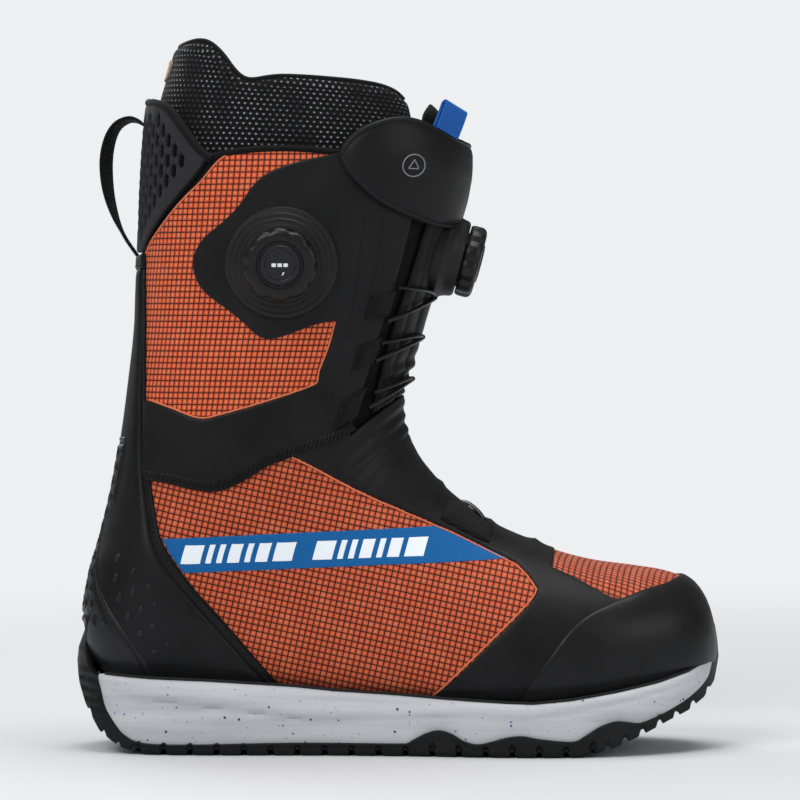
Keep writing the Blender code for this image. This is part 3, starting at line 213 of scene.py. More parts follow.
def table(values, u, v):
    """Reads a ring table at (u, v); v wraps."""
    u = np.clip(np.asarray(u, float), 0, 1) * (NU - 1)
    v = (np.asarray(v, float) % 1.0) * (NV - 1)
    i, j = np.minimum(u.astype(int), NU - 2), np.minimum(v.astype(int), NV - 2)
    a, b = (u - i), (v - j)
    if values.ndim == 3:
        a, b = a[..., None], b[..., None]
    return (values[i, j] * (1 - a) * (1 - b) + values[i + 1, j] * a * (1 - b)
            + values[i, j + 1] * (1 - a) * b + values[i + 1, j + 1] * a * b)


def bare_skin(u, v, off=0.0):
    """Points off millimetres outside the smooth body."""
    off = np.asarray(off, float)
    return table(PLACE, u, v) + unit(table(NORMAL, u, v)) * (off[..., None] if off.ndim else off)


def shrunk_ring(u, v, inset):
    """Points on ring u drawn in by inset in its own plane, which never crosses itself."""
    points = table(PLACE, np.full(len(v), u), v)
    row = resample(RING, np.arange(NU), np.array([u * (NU - 1)]))[0]
    front = np.array([row[0], level(row[0], row[1])])
    back = np.array([row[2], level(row[2], row[3])])
    length = np.linalg.norm(back - front)
    axis = (back - front) / length
    middle = length * 0.5
    across = ((points[:, [0, 2]] - front) * axis).sum(-1)
    across = middle + (across - middle) * (length - 2 * inset) / length
    width = np.where(points[:, 1] < row[4], row[5], row[6])
    y = row[4] + (points[:, 1] - row[4]) * (width - inset) / width
    flat = front + axis * across[:, None]
    return np.stack([flat[:, 0], y, flat[:, 1]], -1)


def uv(x, z):
    """The place (u, v) on the lateral side that shows at (x, z) in the side view."""
    z = level(x, z)
    across_x, across_z = RING[:, 2] - RING[:, 0], BACK_Z - FRONT_Z
    side = across_x * (z - FRONT_Z) - across_z * (x - RING[:, 0])
    share = ((x - RING[:, 0]) * across_x + (z - FRONT_Z) * across_z) / (across_x**2 + across_z**2)
    best = None
    for i in np.nonzero(np.sign(side[:-1]) != np.sign(side[1:]))[0]:
        f = side[i] / (side[i] - side[i + 1])
        here = share[i] + (share[i + 1] - share[i]) * f
        miss = max(0, -here, here - 1)
        if best is None or miss < best[0]:
            best = (miss, i + f, here)
    _, at, here = best
    i = min(int(at), NU - 2)
    row = SHARE[i, : NV // 2 + 1] * (1 - (at - i)) + SHARE[i + 1, : NV // 2 + 1] * (at - i)
    v = np.interp(min(max(here, 0.0), 1.0), row, np.linspace(0, 0.5, NV // 2 + 1))
    return at / (NU - 1), float(v)


def front_u(z):
    """The ring whose front point is at height z."""
    return float(np.interp(level(0, z), FRONT_Z - OUTLINE_LEAN * RING[:, 0], ROW_U))


def vamp_u(x):
    """The ring whose top point is at x on the vamp."""
    return float(np.interp(-x, -RING[: NU // 2, 0], ROW_U[: NU // 2]))


def back_u(z):
    """The ring whose back point is at height z above the heel."""
    heel = int(np.argmin(RING[:, 2]))
    return float(np.interp(z, RING[heel:, 3], ROW_U[heel:]))


def back_point(z, y):
    """The place round the back, on the ring at height z, y millimetres out from the middle."""
    u = back_u(z)
    j = np.arange(NV // 2 - NV // 4, NV // 2 + 1)[::-1]
    centre = np.interp(u * (NU - 1), np.arange(NU), RING[:, 4])
    out = np.abs(table(PLACE, np.full(len(j), u), j / (NV - 1))[:, 1] - centre)
    return u, float(np.interp(y, out, j / (NV - 1)))


# Raised folds across the front: u, height, half length.
BUMPS = [(vamp_u(19.5), 0.9, 2.6), (vamp_u(43.0), 0.9, 2.8), (vamp_u(64.0), 1.2, 2.6),
         (front_u(152.0), 0.7, 3.0)]


def wobble(u, v):
    """Soft unevenness shared by every layer, with folds where the instep bends."""
    w = (v + 0.5) % 1.0 - 0.5
    rise = 0.16 * np.sin(23.0 * u + 9.0 * np.sin(6.3 * w) + 1.0) * np.sin(19.0 * w + 14.0 * u)
    rise = rise + 0.10 * np.sin(61.0 * u + 31.0 * w) * np.sin(37.0 * w - 25.0 * u + 2.0)
    folds = np.exp(-((w / 0.15) ** 2)) * np.exp(-(((u - 0.52) / 0.045) ** 2))
    rise = rise + 0.55 * folds * np.sin(2 * math.pi * u * LENGTH / 12.5 + 2.0 * np.sin(9.0 * w))
    for at, tall, wide in BUMPS:
        rise = rise + (tall * np.exp(-(((u - at) * LENGTH / wide) ** 2))
                       * np.exp(-((w / 0.07) ** 4)))
    return rise


def skin(u, v, off=0.0):
    """Points off millimetres outside the uneven upper."""
    bumpy = wobble(np.asarray(u, float), np.asarray(v, float))
    return bare_skin(u, v, np.asarray(off, float) + bumpy)


def one_point(surface, u, v, off=0.0):
    return surface(np.array([u]), np.array([v]), off)[0]


# -------------------------------------------------------------------- finishes
def srgb(r, g, b):
    """A display colour in 0..255 as scene-linear."""
    return tuple((c / 12.92 if c <= 0.04045 else ((c + 0.055) / 1.055) ** 2.4)
                 for c in (r / 255, g / 255, b / 255))


def lighter(tone, by):
    return srgb(*(c + by for c in tone))


class Finish:
    """A node material with short ways to add nodes."""

    SOCKETS = {"base": "Base Color", "rough": "Roughness", "metal": "Metallic",
               "spec": "Specular IOR Level", "coat": "Coat Weight",
               "coat_rough": "Coat Roughness", "sheen": "Sheen Weight",
               "sheen_rough": "Sheen Roughness"}

    def __init__(self, name):
        self.mat = bpy.data.materials.new(name)
        self.mat.use_nodes = True
        self.tree = self.mat.node_tree
        self.shader = self.tree.nodes["Principled BSDF"]
        self.texco = self.tree.nodes.new("ShaderNodeTexCoord")
        self.normal = None

    def link(self, value, socket):
        if hasattr(value, "node"):
            self.tree.links.new(value, socket)
        elif isinstance(value, tuple) and socket.type == "RGBA" and len(value) == 3:
            socket.default_value = (*value, 1.0)
        else:
            socket.default_value = value

    def node(self, kind, **inputs):
        """A node: _name sets a property, i0, i1.. an input by number, others by name."""
        made = self.tree.nodes.new(kind)
        for key, value in inputs.items():
            if key.startswith("_"):
                setattr(made, key[1:], value)
        for key, value in inputs.items():
            if not key.startswith("_"):
                numbered = key[0] == "i" and key[1:].isdigit()
                self.link(value, made.inputs[int(key[1:]) if numbered else key])
        return made

    def math(self, op, a, b=0.0, c=0.0):
        return self.node("ShaderNodeMath", _operation=op, i0=a, i1=b, i2=c).outputs[0]

    def step(self, value, low, high):
        return self.node("ShaderNodeMapRange", _interpolation_type="SMOOTHSTEP", Value=value,
                         i1=low, i2=high).outputs[0]

    def mix(self, factor, a, b):
        return self.node("ShaderNodeMix", _data_type="RGBA", i0=factor, i6=a, i7=b).outputs[2]

    def noise(self, scale, detail=2.0, rough=0.5, vector=None):
        return self.node("ShaderNodeTexNoise", Vector=vector or self.texco.outputs["Object"],
                         Scale=scale, Detail=detail, Roughness=rough).outputs[0]

    def voronoi(self, scale, **inputs):
        return self.node("ShaderNodeTexVoronoi", Vector=self.texco.outputs["Object"],
                         Scale=scale, **inputs)

    def bump(self, height, strength, distance):
        made = self.node("ShaderNodeBump", Strength=strength, Distance=distance, Height=height)
        if self.normal is not None:
            self.tree.links.new(self.normal, made.inputs["Normal"])
        self.normal = made.outputs[0]
        self.tree.links.new(self.normal, self.shader.inputs["Normal"])

    def set(self, **inputs):
        for key, value in inputs.items():
            self.link(value, self.shader.inputs[self.SOCKETS[key]])

    def cloth_axes(self):
        """The two cloth coordinates, in millimetres."""
        cloth = self.node("ShaderNodeAttribute", _attribute_name="cloth")
        at = self.node("ShaderNodeSeparateXYZ", Vector=cloth.outputs["Vector"])
        return at.outputs[0], at.outputs[1]

    def cells(self, wide, tall, turn=0.0, stagger=False):
        """Two values, 0 at a cloth cell's middle and 1 at its edge."""
        s, t = self.cloth_axes()
        if turn:
            cos, sin = math.cos(turn), math.sin(turn)
            s, t = (self.math("ADD", self.math("MULTIPLY", s, cos), self.math("MULTIPLY", t, sin)),
                    self.math("SUBTRACT", self.math("MULTIPLY", t, cos),
                              self.math("MULTIPLY", s, sin)))
        t = self.math("DIVIDE", t, tall)
        s = self.math("DIVIDE", s, wide)
        if stagger:
            odd = self.math("PINGPONG", self.math("FLOOR", t), 1.0)
            s = self.math("ADD", s, self.math("MULTIPLY", odd, 0.5))
        out = []
        for value in (s, t):
            centred = self.math("SUBTRACT", self.math("FRACT", value), 0.5)
            out.append(self.math("MULTIPLY", self.math("ABSOLUTE", centred), 2.0))
        return out

    def weave(self, pitch):
        """Height of a tight plain weave, 1 on top of a thread."""
        a, b = self.cells(wide=pitch, tall=pitch, stagger=True)
        return self.math("MULTIPLY", self.math("SUBTRACT", 1.0, a), self.math("SUBTRACT", 1.0, b))


def ripstop(name, turn=0.0, dark=1.0):
    """Orange cloth in pillowed squares between dark threads, each square painted lighter in its
    middle as a highlight and darker at its edge as shade.
    """
    fin = Finish(name)
    a, b = fin.cells(wide=2.75, tall=2.75, turn=turn)
    edge = fin.math("MAXIMUM", a, b)
    thread = fin.step(edge, low=0.70, high=0.88)
    cross = fin.math("MULTIPLY", fin.step(a, low=0.62, high=0.82), fin.step(b, low=0.62, high=0.82))
    blotch = fin.noise(scale=140.0, detail=2.0)
    fine = fin.noise(scale=2600.0, detail=1.0)
    # Painted highlight and shade: the middle of each pillowed square is painted lighter and its
    # edge darker, as light falls on the bulge.
    middle = fin.step(edge, low=0.62, high=0.0)
    # dark below 1 paints the whole cloth darker: painted shade for the lower panels.
    body = fin.mix(middle, srgb(204 * dark, 84 * dark, 44 * dark),
                   srgb(236 * dark, 132 * dark, 94 * dark))
    body = fin.mix(fin.math("MULTIPLY", fine, 0.25), body, srgb(150, 42, 14))
    blotches = fin.math("MULTIPLY", fin.step(blotch, low=0.45, high=0.7), 0.12)
    body = fin.mix(blotches, body, srgb(250, 150, 104))
    colour = fin.mix(fin.math("MULTIPLY", thread, 0.9), body, srgb(44, 14, 8))
    colour = fin.mix(cross, colour, srgb(10, 8, 8))
    fin.set(base=colour, rough=0.66, spec=0.2, sheen=0.06, sheen_rough=0.5)
    pillow = fin.math("SUBTRACT", 1.0, fin.math("MULTIPLY", edge, edge))
    fin.bump(pillow, strength=0.55, distance=0.0006)
    fin.bump(fine, strength=0.12, distance=0.0002)
    return fin.mat


def coated(name, tone=(19, 19, 20), rough=0.44, grain=0.10, spec=0.15, scale=900.0, sheen=0.0):
    """Smooth black coated cloth with a fine grain and faint scuffing."""
    fin = Finish(name)
    soft = fin.noise(scale=38.0, detail=3.0, rough=0.55)
    grain_noise = fin.noise(scale=scale, detail=3.0, rough=0.6)
    pores = fin.voronoi(scale=1500.0).outputs[0]
    colour = fin.mix(fin.step(soft, low=0.35, high=0.7), srgb(*tone), lighter(tone, 7))
    scuff = fin.math("MULTIPLY", fin.math("SUBTRACT", soft, 0.5), 0.22)
    fin.set(base=colour, rough=fin.math("ADD", scuff, rough), spec=spec, sheen=sheen)
    fin.bump(grain_noise, strength=grain, distance=0.0003)
    fin.bump(pores, strength=grain * 0.7, distance=0.00012)
    return fin.mat


def woven(name, tone, second, pitch=0.9, rough=0.8):
    """A tight plain weave."""
    fin = Finish(name)
    over = fin.weave(pitch)
    fin.set(base=fin.mix(over, srgb(*second), srgb(*tone)), rough=rough, spec=0.12, sheen=0.04)
    fin.bump(over, strength=0.5, distance=0.0003)
    fin.bump(fin.noise(scale=1800.0, detail=2.0), strength=0.15, distance=0.0002)
    return fin.mat


def dotted_mesh(name):
    """Black knit with rows of small grey eyelets."""
    fin = Finish(name)
    a, b = fin.cells(wide=3.1, tall=2.3, stagger=True)
    a_squared = fin.math("POWER", fin.math("MULTIPLY", a, 1.0), 2.0)
    radius = fin.math("SQRT", fin.math("ADD", a_squared, fin.math("POWER", b, 2.0)))
    dot = fin.step(radius, low=0.46, high=0.22)
    shade = fin.noise(scale=70.0, detail=2.0)
    wale, _ = fin.cells(wide=0.85, tall=1.0)
    grey = fin.mix(fin.step(shade, low=0.35, high=0.65), srgb(46, 46, 48), srgb(132, 132, 134))
    black = fin.mix(fin.step(radius, low=1.25, high=0.7), srgb(6, 6, 7), srgb(19, 19, 20))
    fin.set(base=fin.mix(dot, black, grey), rough=0.85, spec=0.1, sheen=0.04)
    fin.bump(fin.math("SUBTRACT", 1.0, radius), strength=0.6, distance=0.0006)
    fin.bump(wale, strength=0.2, distance=0.0002)
    return fin.mat


def rubber(name):
    fin = Finish(name)
    tone = (18, 18, 19)
    pits = fin.noise(scale=420.0, detail=4.0, rough=0.65)
    wear = fin.noise(scale=26.0, detail=3.0)
    colour = fin.mix(fin.step(wear, low=0.42, high=0.75), srgb(*tone), lighter(tone, 9))
    fin.set(base=colour, rough=fin.math("ADD", fin.math("MULTIPLY", wear, 0.2), 0.4), spec=0.18)
    fin.bump(pits, strength=0.12, distance=0.0004)
    return fin.mat


# Foam flecks: cell scale, fleck size, share of cells left plain, colour.
FLECKS = ((150.0, 0.115, 0.50, (34, 44, 66)), (190.0, 0.12, 0.60, (26, 96, 170)),
          (330.0, 0.13, 0.55, (92, 94, 98)))


def speckled_foam(name):
    """Pale moulded foam: fine skin, fine grey streaking, scattered dark and blue flecks."""
    fin = Finish(name)
    surface = fin.noise(scale=700.0, detail=3.0)
    stretched = fin.node("ShaderNodeMapping", Vector=fin.texco.outputs["Object"],
                         Scale=(9.0, 9.0, 130.0)).outputs[0]
    streak = fin.noise(scale=1.0, detail=4.0, rough=0.6, vector=stretched)
    base = fin.mix(fin.step(streak, low=0.35, high=0.75), srgb(192, 193, 196), srgb(172, 173, 177))
    mottle = fin.voronoi(scale=900.0, Randomness=1.0).outputs[0]
    spots = fin.math("MULTIPLY", fin.step(mottle, low=0.30, high=0.12),
                     fin.step(fin.noise(scale=600.0, detail=1.0), low=0.55, high=0.62))
    base = fin.mix(spots, base, srgb(148, 150, 154))
    for scale, size, plain_share, tone in FLECKS:
        cell = fin.voronoi(scale=scale, Randomness=1.0)
        red = fin.node("ShaderNodeSeparateColor", Color=cell.outputs[1]).outputs[0]
        pick = fin.step(red, low=plain_share, high=plain_share + 0.02)
        fleck = fin.step(cell.outputs[0], low=size, high=size * 0.6)
        base = fin.mix(fin.math("MULTIPLY", fleck, pick), base, srgb(*tone))
    fin.set(base=base, rough=0.62, spec=0.35)
    fin.bump(surface, strength=0.10, distance=0.0003)
    return fin.mat


def plastic(name, tone=(13, 13, 14), rough=0.36, grain=0.06):
    fin = Finish(name)
    fine = fin.noise(scale=1400.0, detail=2.0)
    smudge = fin.noise(scale=90.0, detail=3.0)
    fin.set(base=fin.mix(smudge, srgb(*tone), lighter(tone, 5)),
            rough=fin.math("ADD", fin.math("MULTIPLY", smudge, 0.16), rough - 0.06), spec=0.28)
    fin.bump(fine, strength=grain, distance=0.0002)
    return fin.mat


def plain(name, tone, rough=0.6, metal=0.0, scale=400.0, spec=0.4, bump=0.1, vary=12, **more):
    """One tone, darkened by up to vary in a fine noise."""
    fin = Finish(name)
    fine = fin.noise(scale=scale, detail=3.0)
    fin.set(base=fin.mix(fine, srgb(*(max(0, c - vary) for c in tone)), srgb(*tone)),
            rough=rough, metal=metal, spec=spec, **more)
    fin.bump(fine, strength=bump, distance=0.0003)
    return fin.mat


def ribbed(name, tone, pitch):
    """Cloth with ribs across its length, read from the first cloth coordinate, each rib's crest
    painted lighter as a highlight.
    """
    fin = Finish(name)
    rib, _ = fin.cells(wide=pitch, tall=1.0)
    # Painted highlight: the crest of each rib is painted lighter than its sides.
    fin.set(base=fin.mix(rib, lighter(tone, 7), srgb(*tone)), rough=0.72, spec=0.14, sheen=0.03)
    fin.bump(fin.math("SUBTRACT", 1.0, rib), strength=0.9, distance=0.0008)
    fin.bump(fin.noise(scale=1500.0, detail=2.0), strength=0.2, distance=0.0002)
    return fin.mat


def printed_webbing(name):
    """Pale webbing with a woven zigzag down its middle."""
    zigzag_pitch, slope = 6.2, 0.9
    fin = Finish(name)
    along, across = fin.cloth_axes()
    across = fin.math("ABSOLUTE", across)
    slanted = fin.math("ADD", along, fin.math("MULTIPLY", across, slope))
    zigzag = fin.math("FRACT", fin.math("DIVIDE", slanted, zigzag_pitch))
    band = fin.math("MULTIPLY", fin.step(zigzag, low=0.40, high=0.46),
                    fin.step(zigzag, low=0.94, high=0.88))
    middle = fin.step(across, low=3.9, high=3.6)
    over = fin.weave(0.9)
    pale = fin.mix(over, srgb(160, 160, 164), srgb(206, 206, 209))
    fin.set(base=fin.mix(fin.math("MULTIPLY", band, middle), pale, srgb(30, 30, 32)),
            rough=0.8, spec=0.3, sheen=0.3)
    fin.bump(over, strength=0.5, distance=0.0003)
    return fin.mat


MATS = {
    "loop_print": printed_webbing("loop_printed_webbing"),
    "mark_grey": plain("pale_print", (120, 120, 122), scale=2500.0),
    "blue_thread": plain("blue_thread", (20, 78, 150), rough=0.7, scale=2500.0),
    "ripstop_up": ripstop("orange_ripstop_leg"),
    # The foot and toe cloths are painted darker, 0.90 and 0.85 of the leg cloth's tone: painted
    # shade on the lower panels, which get less light.
    "ripstop_low": ripstop("orange_ripstop_foot", turn=math.radians(-13), dark=0.90),
    "ripstop_toe": ripstop("orange_ripstop_toe", turn=math.radians(-8), dark=0.85),
    "binding": plain("orange_welded_edge", (212, 120, 84), bump=0.2, spec=0.2, scale=900.0),
    "overlay": coated("black_coated_overlay"),
    "overlay_soft": coated("black_soft_overlay", (17, 17, 18), rough=0.5, grain=0.14, spec=0.13,
                           scale=620.0, sheen=0.02),
    "toe": coated("toe_cap_film", rough=0.40, grain=0.16, spec=0.2, scale=420.0),
    "heel": coated("moulded_heel_film", (23, 23, 24), rough=0.42, grain=0.08, spec=0.24,
                   scale=1000.0),
    "shell": woven("shell_cloth", (20, 20, 21), (10, 10, 11), pitch=1.0),
    "honey": woven("spacer_mesh", (58, 58, 60), (34, 34, 35), pitch=0.7, rough=0.7),
    "backing": woven("mesh_backing", (5, 5, 6), (2, 2, 3), pitch=0.8, rough=0.95),
    "dots": dotted_mesh("liner_dotted_knit"),
    "lining": woven("liner_smooth_lining", (18, 18, 19), (10, 10, 11), pitch=0.8, rough=0.85),
    "piping": woven("piping", (15, 15, 16), (7, 7, 8), pitch=0.7, rough=0.75),
    "thread": plain("black_thread", (36, 36, 37), rough=0.7, scale=2500.0, spec=0.2, bump=0.3),
    "thread_dark": plain("dark_thread", (18, 18, 19), rough=0.75, scale=2500.0, bump=0.3),
    "rubber": rubber("tread_rubber"),
    "foam": speckled_foam("speckled_midsole_foam"),
    "gel": plain("blue_gel", (26, 96, 176), rough=0.22, scale=60.0, spec=0.6, bump=0.03,
                 coat=0.5, coat_rough=0.15),
    "dash": plain("white_rubber", (226, 227, 228), rough=0.55),
    "dial": plastic("dial_nylon"),
    "dial_rim": plastic("dial_textured_nylon", (16, 16, 17), rough=0.48, grain=0.2),
    "dial_in": plastic("dial_inner_nylon", (22, 22, 24), rough=0.40),
    "steel": plain("plain_steel", (168, 168, 172), rough=0.32, metal=1.0, scale=700.0),
    "cable": plain("coated_cable", (16, 16, 17), rough=0.35, metal=0.4, scale=3000.0, bump=0.3),
    "tick": plain("white_print", (222, 222, 224), rough=0.5),
    "web_white": woven("loop_face_webbing", (214, 214, 217), (176, 176, 180)),  # spare
    "web_black": ribbed("loop_back_webbing", (13, 13, 14), pitch=0.95),
    "fringe": ribbed("ribbed_edge", (18, 18, 19), pitch=2.1),  # spare
    "tape": woven("blue_tape", (22, 106, 170), (12, 84, 142), pitch=0.8, rough=0.6),
    "tape_print": plain("white_tape_print", (232, 238, 244), scale=1500.0),
    "blue_web": woven("blue_webbing", (28, 108, 190), (10, 70, 140), pitch=1.0, rough=0.7),
    "label": woven("beige_label", (176, 152, 134), (146, 122, 106), pitch=0.8),
    "label_edge": plain("label_edge", (196, 176, 160), rough=0.7),
    "board": plain("fibre_board", (120, 108, 88), rough=0.85),
    "shank": plain("glass_filled_nylon", (46, 46, 48), rough=0.5),
    "foam_bed": woven("brushed_footbed_cloth", (58, 58, 60), (38, 38, 40), rough=0.95),
    "mark": plain("orange_thread_mark", (206, 92, 52), rough=0.7, scale=2500.0),
    "print_grey": plain("dark_print", (62, 62, 64)),  # spare
}


# ------------------------------------------------------------------ mesh makers
def mesh_object(name, points, faces, mats, cloth=None, sharp=40.0):
    """A smooth-shaded object from millimetres, its cloth coordinates a point attribute."""
    mesh = bpy.data.meshes.new(name)
    points = np.asarray(points, float)
    mesh.from_pydata((points * MM).tolist(), [], [tuple(int(i) for i in f) for f in faces])
    for mat in mats if isinstance(mats, list) else [mats]:
        mesh.materials.append(mat)
    if cloth is not None:
        layer = mesh.attributes.new("cloth", "FLOAT_VECTOR", "POINT")
        flat = np.zeros((len(points), 3), np.float32)
        flat[:, :2] = cloth
        layer.data.foreach_set("vector", flat.ravel())
    mesh.validate()
    mesh.shade_smooth()
    mesh.set_sharp_from_angle(angle=math.radians(sharp))
    obj = bpy.data.objects.new(name, mesh)
    bpy.context.scene.collection.objects.link(obj)
    return obj


def fit(obj, slot, *stands_for, rides=ANKLE):
    """Hides the frame parts a piece replaces and ties it to the body it rides; a bend only fixes
    the piece in place. slot is not used.
    """
    if stands_for:
        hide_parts(*stands_for)
    if isinstance(rides, str):
        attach(obj, rides)
    else:
        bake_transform(obj)


def oriented(obj, weld=False):
    """Turns the faces outwards, merging coincident points first if asked."""
    bm = bmesh.new()
    bm.from_mesh(obj.data)
    if weld:
        bmesh.ops.remove_doubles(bm, verts=bm.verts, dist=1e-6)
        bmesh.ops.dissolve_degenerate(bm, edges=bm.edges, dist=1e-7)
    bmesh.ops.recalc_face_normals(bm, faces=bm.faces)
    bm.to_mesh(obj.data)
    bm.free()
    return obj


def grid_faces(rows, cols, loop=False, closed=False):
    """Quads over a grid; loop joins last column to first, closed joins last row to first."""
    return [(i * cols + j, i * cols + (j + 1) % cols,
             (i + 1) % rows * cols + (j + 1) % cols, (i + 1) % rows * cols + j)
            for i in range(rows if closed else rows - 1)
            for j in range(cols if loop else cols - 1)]


def end_caps(rows, cols, swap=False):
    """Faces over the first and last rows of a looped grid; swap turns both over."""
    first, last = tuple(range(cols)), tuple(range((rows - 1) * cols, rows * cols))
    return [first, last[::-1]] if swap else [first[::-1], last]


def closed_sheet(top, base, faces, normals):
    """Top and base layers of the same faces joined round every free edge."""
    corners = np.array([f[:3] for f in faces])
    a, b, c = (top[corners[:, k]] for k in range(3))
    if (np.cross(b - a, c - a) * normals[corners[:, 0]]).sum() <= 0:
        faces = [f[::-1] for f in faces]
    n = len(top)
    edges = dict.fromkeys((f[i], f[(i + 1) % len(f)]) for f in faces for i in range(len(f)))
    walls = [(b, a, a + n, b + n) for a, b in edges if (b, a) not in edges]
    return (np.concatenate([top, base]),
            faces + [tuple(i + n for i in f[::-1]) for f in faces] + walls)


def two_layers(name, u, v, outer, inner, faces, mat, cloth, sharp=40.0):
    """A closed piece between two heights above the skin."""
    points, faces = closed_sheet(skin(u, v, outer), skin(u, v, inner), faces, table(NORMAL, u, v))
    return mesh_object(name, points, faces, mat, np.concatenate([cloth, cloth]), sharp)


def cloth_leg(u, v, points):
    """Cloth coordinates on the leg: round it from the side line, and height."""
    w = (v + 0.5) % 1.0 - 0.5
    side = np.where(w < 0, -0.25, 0.25)
    return np.stack([(w - side) * ring_arc(u), points[:, 2]], 1)


def cloth_foot(u, v, points):
    return points[:, [0, 2]]


def cloth_top(u, v, points):
    return points[:, :2]


def dense(loop, gap):
    """A flat loop with even short steps; corners stay."""
    out = []
    for i in range(len(loop)):
        a, b = np.array(loop[i]), np.array(loop[(i + 1) % len(loop)])
        n = max(1, int(round(np.linalg.norm(b - a) / gap)))
        out += [tuple(a + (b - a) * j / n) for j in range(n)]
    return out


def inside(points, loop):
    points, corners = np.asarray(points), np.asarray(loop)
    x, y = points[:, 0], points[:, 1]
    hit = np.zeros(len(points), bool)
    for (x1, y1), (x2, y2) in zip(corners, np.roll(corners, -1, axis=0)):
        if y1 != y2:
            hit ^= ((y1 > y) != (y2 > y)) & (x < (x2 - x1) * (y - y1) / (y2 - y1) + x1)
    return hit


def away(points, loops):
    """Distance of flat points from the nearest of several dense loops."""
    known = [p for loop in loops for p in loop]
    tree = KDTree(len(known))
    for i, p in enumerate(known):
        tree.insert((p[0], p[1], 0), i)
    tree.balance()
    return np.array([tree.find((p[0], p[1], 0))[2] for p in points])


def shifted(loop, by):
    """A dense loop moved inwards (positive) by that many millimetres; no tidying."""
    q = np.asarray(loop)
    d = unit(np.roll(q, -2, axis=0) - np.roll(q, 2, axis=0))
    area = (q[:, 0] * np.roll(q[:, 1], -1) - np.roll(q[:, 0], -1) * q[:, 1]).sum()
    return q + np.stack([-d[:, 1], d[:, 0]], 1) * (1 if area > 0 else -1) * by


def triangulated(points, edges, output, epsilon):
    flat, _, faces, *_ = delaunay_2d_cdt([Vector((float(p[0]), float(p[1]))) for p in points],
                                         edges, [], output, epsilon)
    return np.array([tuple(p) for p in flat]), [tuple(f) for f in faces]


def sheet(name, loop, mat, top=0.9, edge=0.45, base=-0.8, mesh_mm=3.2, gap=1.8, mirror=False,
          holes=(), relief=None, cloth=cloth_leg, rings=(), girth=None):
    """A closed sheet on the boot; loop and holes are (u, v), heights are above the skin.

    rings are (inset, height change) lines drawn inside the edge; relief(u, v, d) adds height
    over the face, d being the distance from the edge; girth scales v to millimetres.
    """
    girth = girth or float(ring_arc(np.mean([p[0] for p in loop])))
    outline = dense([(u * LENGTH, v * girth) for u, v in loop], gap)
    flat_holes = [dense([(u * LENGTH, v * girth) for u, v in h], gap) for h in holes]
    loops = [outline] + flat_holes

    def on_sheet(points):
        ok = inside(points, outline)
        for hole in flat_holes:
            ok &= ~inside(points, hole)
        return ok

    low, high = np.min(outline, axis=0), np.max(outline, axis=0)
    gx, gy = np.meshgrid(np.arange(low[0], high[0], mesh_mm),
                         np.arange(low[1], high[1], mesh_mm * 0.9))
    gx[1::2] += mesh_mm / 2
    cloud = np.stack([gx.ravel(), gy.ravel()], 1)
    cloud = cloud[on_sheet(cloud)]
    lines = []
    for inset in sorted([0.45, 1.1] + [r[0] for r in rings]):
        line = shifted(outline, inset)
        line = line[inside(line, outline)]
        for candidate in [line] + [shifted(hole, -inset) for hole in flat_holes]:
            lines.append(candidate[away(candidate, loops) > 0.8 * inset])
    keep_off = max([0.0] + [r[0] for r in rings]) + 0.55 * mesh_mm
    cloud = cloud[away(cloud, loops) > keep_off]

    edges, points = [], []
    for ring in loops:
        start = len(points)
        points += list(ring)
        edges += [(start + i, start + (i + 1) % len(ring)) for i in range(len(ring))]
    points += [tuple(p) for p in np.concatenate(lines + [cloud])]
    flat, faces = triangulated(points, edges, 0 if holes else 1, 1e-4)
    if holes:
        ok = on_sheet(np.array([flat[list(f)].mean(axis=0) for f in faces]))
        faces = [f for f, kept in zip(faces, ok) if kept]
        used = sorted({i for f in faces for i in f})
        new = {i: j for j, i in enumerate(used)}
        flat = flat[used]
        faces = [tuple(new[i] for i in f) for f in faces]

    d = away(flat, loops)
    u, v = flat[:, 0] / LENGTH, flat[:, 1] / girth
    rise = np.where(d < 0.05, edge, np.where(d < 0.75, edge + (top - edge) * 0.72, top))
    for inset, change in rings:
        rise = rise + change * (np.abs(d - inset) < 0.28)
    if relief is not None:
        rise = rise + relief(u, v, d) * (d > 0.05)
    if mirror:
        v = 1.0 - v
    return two_layers(name, u, v, rise, base, faces, mat, cloth(u, v, table(PLACE, u, v)))


def tube(points, radius, sides=8, closed=False):
    """Vertices and faces of a cord along points."""
    p = np.asarray(points, float)
    n = len(p)
    tangent = np.roll(p, -1, axis=0) - np.roll(p, 1, axis=0) if closed else np.gradient(p, axis=0)
    tangent = unit(tangent)
    up = np.array([0.0, 0.0, 1.0]) if abs(tangent[0][2]) < 0.8 else np.array([0.0, 1.0, 0.0])
    up = up - tangent[0] * up.dot(tangent[0])
    ups = []
    for i in range(n):
        up = unit(up - tangent[i] * up.dot(tangent[i]))
        ups.append(up)
    ups = np.array(ups)
    across = np.cross(tangent, ups)
    radius = np.broadcast_to(np.asarray(radius, float), (n,))[:, None, None]
    angle = 2 * math.pi * np.arange(sides) / sides
    verts = p[:, None] + radius * (np.cos(angle)[None, :, None] * across[:, None]
                                   + np.sin(angle)[None, :, None] * ups[:, None])
    faces = grid_faces(n, sides, loop=True, closed=closed)
    return verts.reshape(-1, 3), faces if closed else faces + end_caps(n, sides)


def merge(parts):
    verts, faces, at = [], [], 0
    for points, part_faces in parts:
        verts.append(np.asarray(points))
        faces += [tuple(i + at for i in f) for f in part_faces]
        at += len(points)
    return np.concatenate(verts), faces


def cord(name, points, radius, mat, sides=8):
    verts, faces = tube(points, radius, sides)
    run = run_length(np.asarray(points))
    turn = np.arange(sides) * 2.0 * math.pi * radius / sides
    cloth = np.stack([np.repeat(run, sides), np.tile(turn, len(run))], 1)
    return mesh_object(name, verts, faces, mat, cloth, sharp=60)


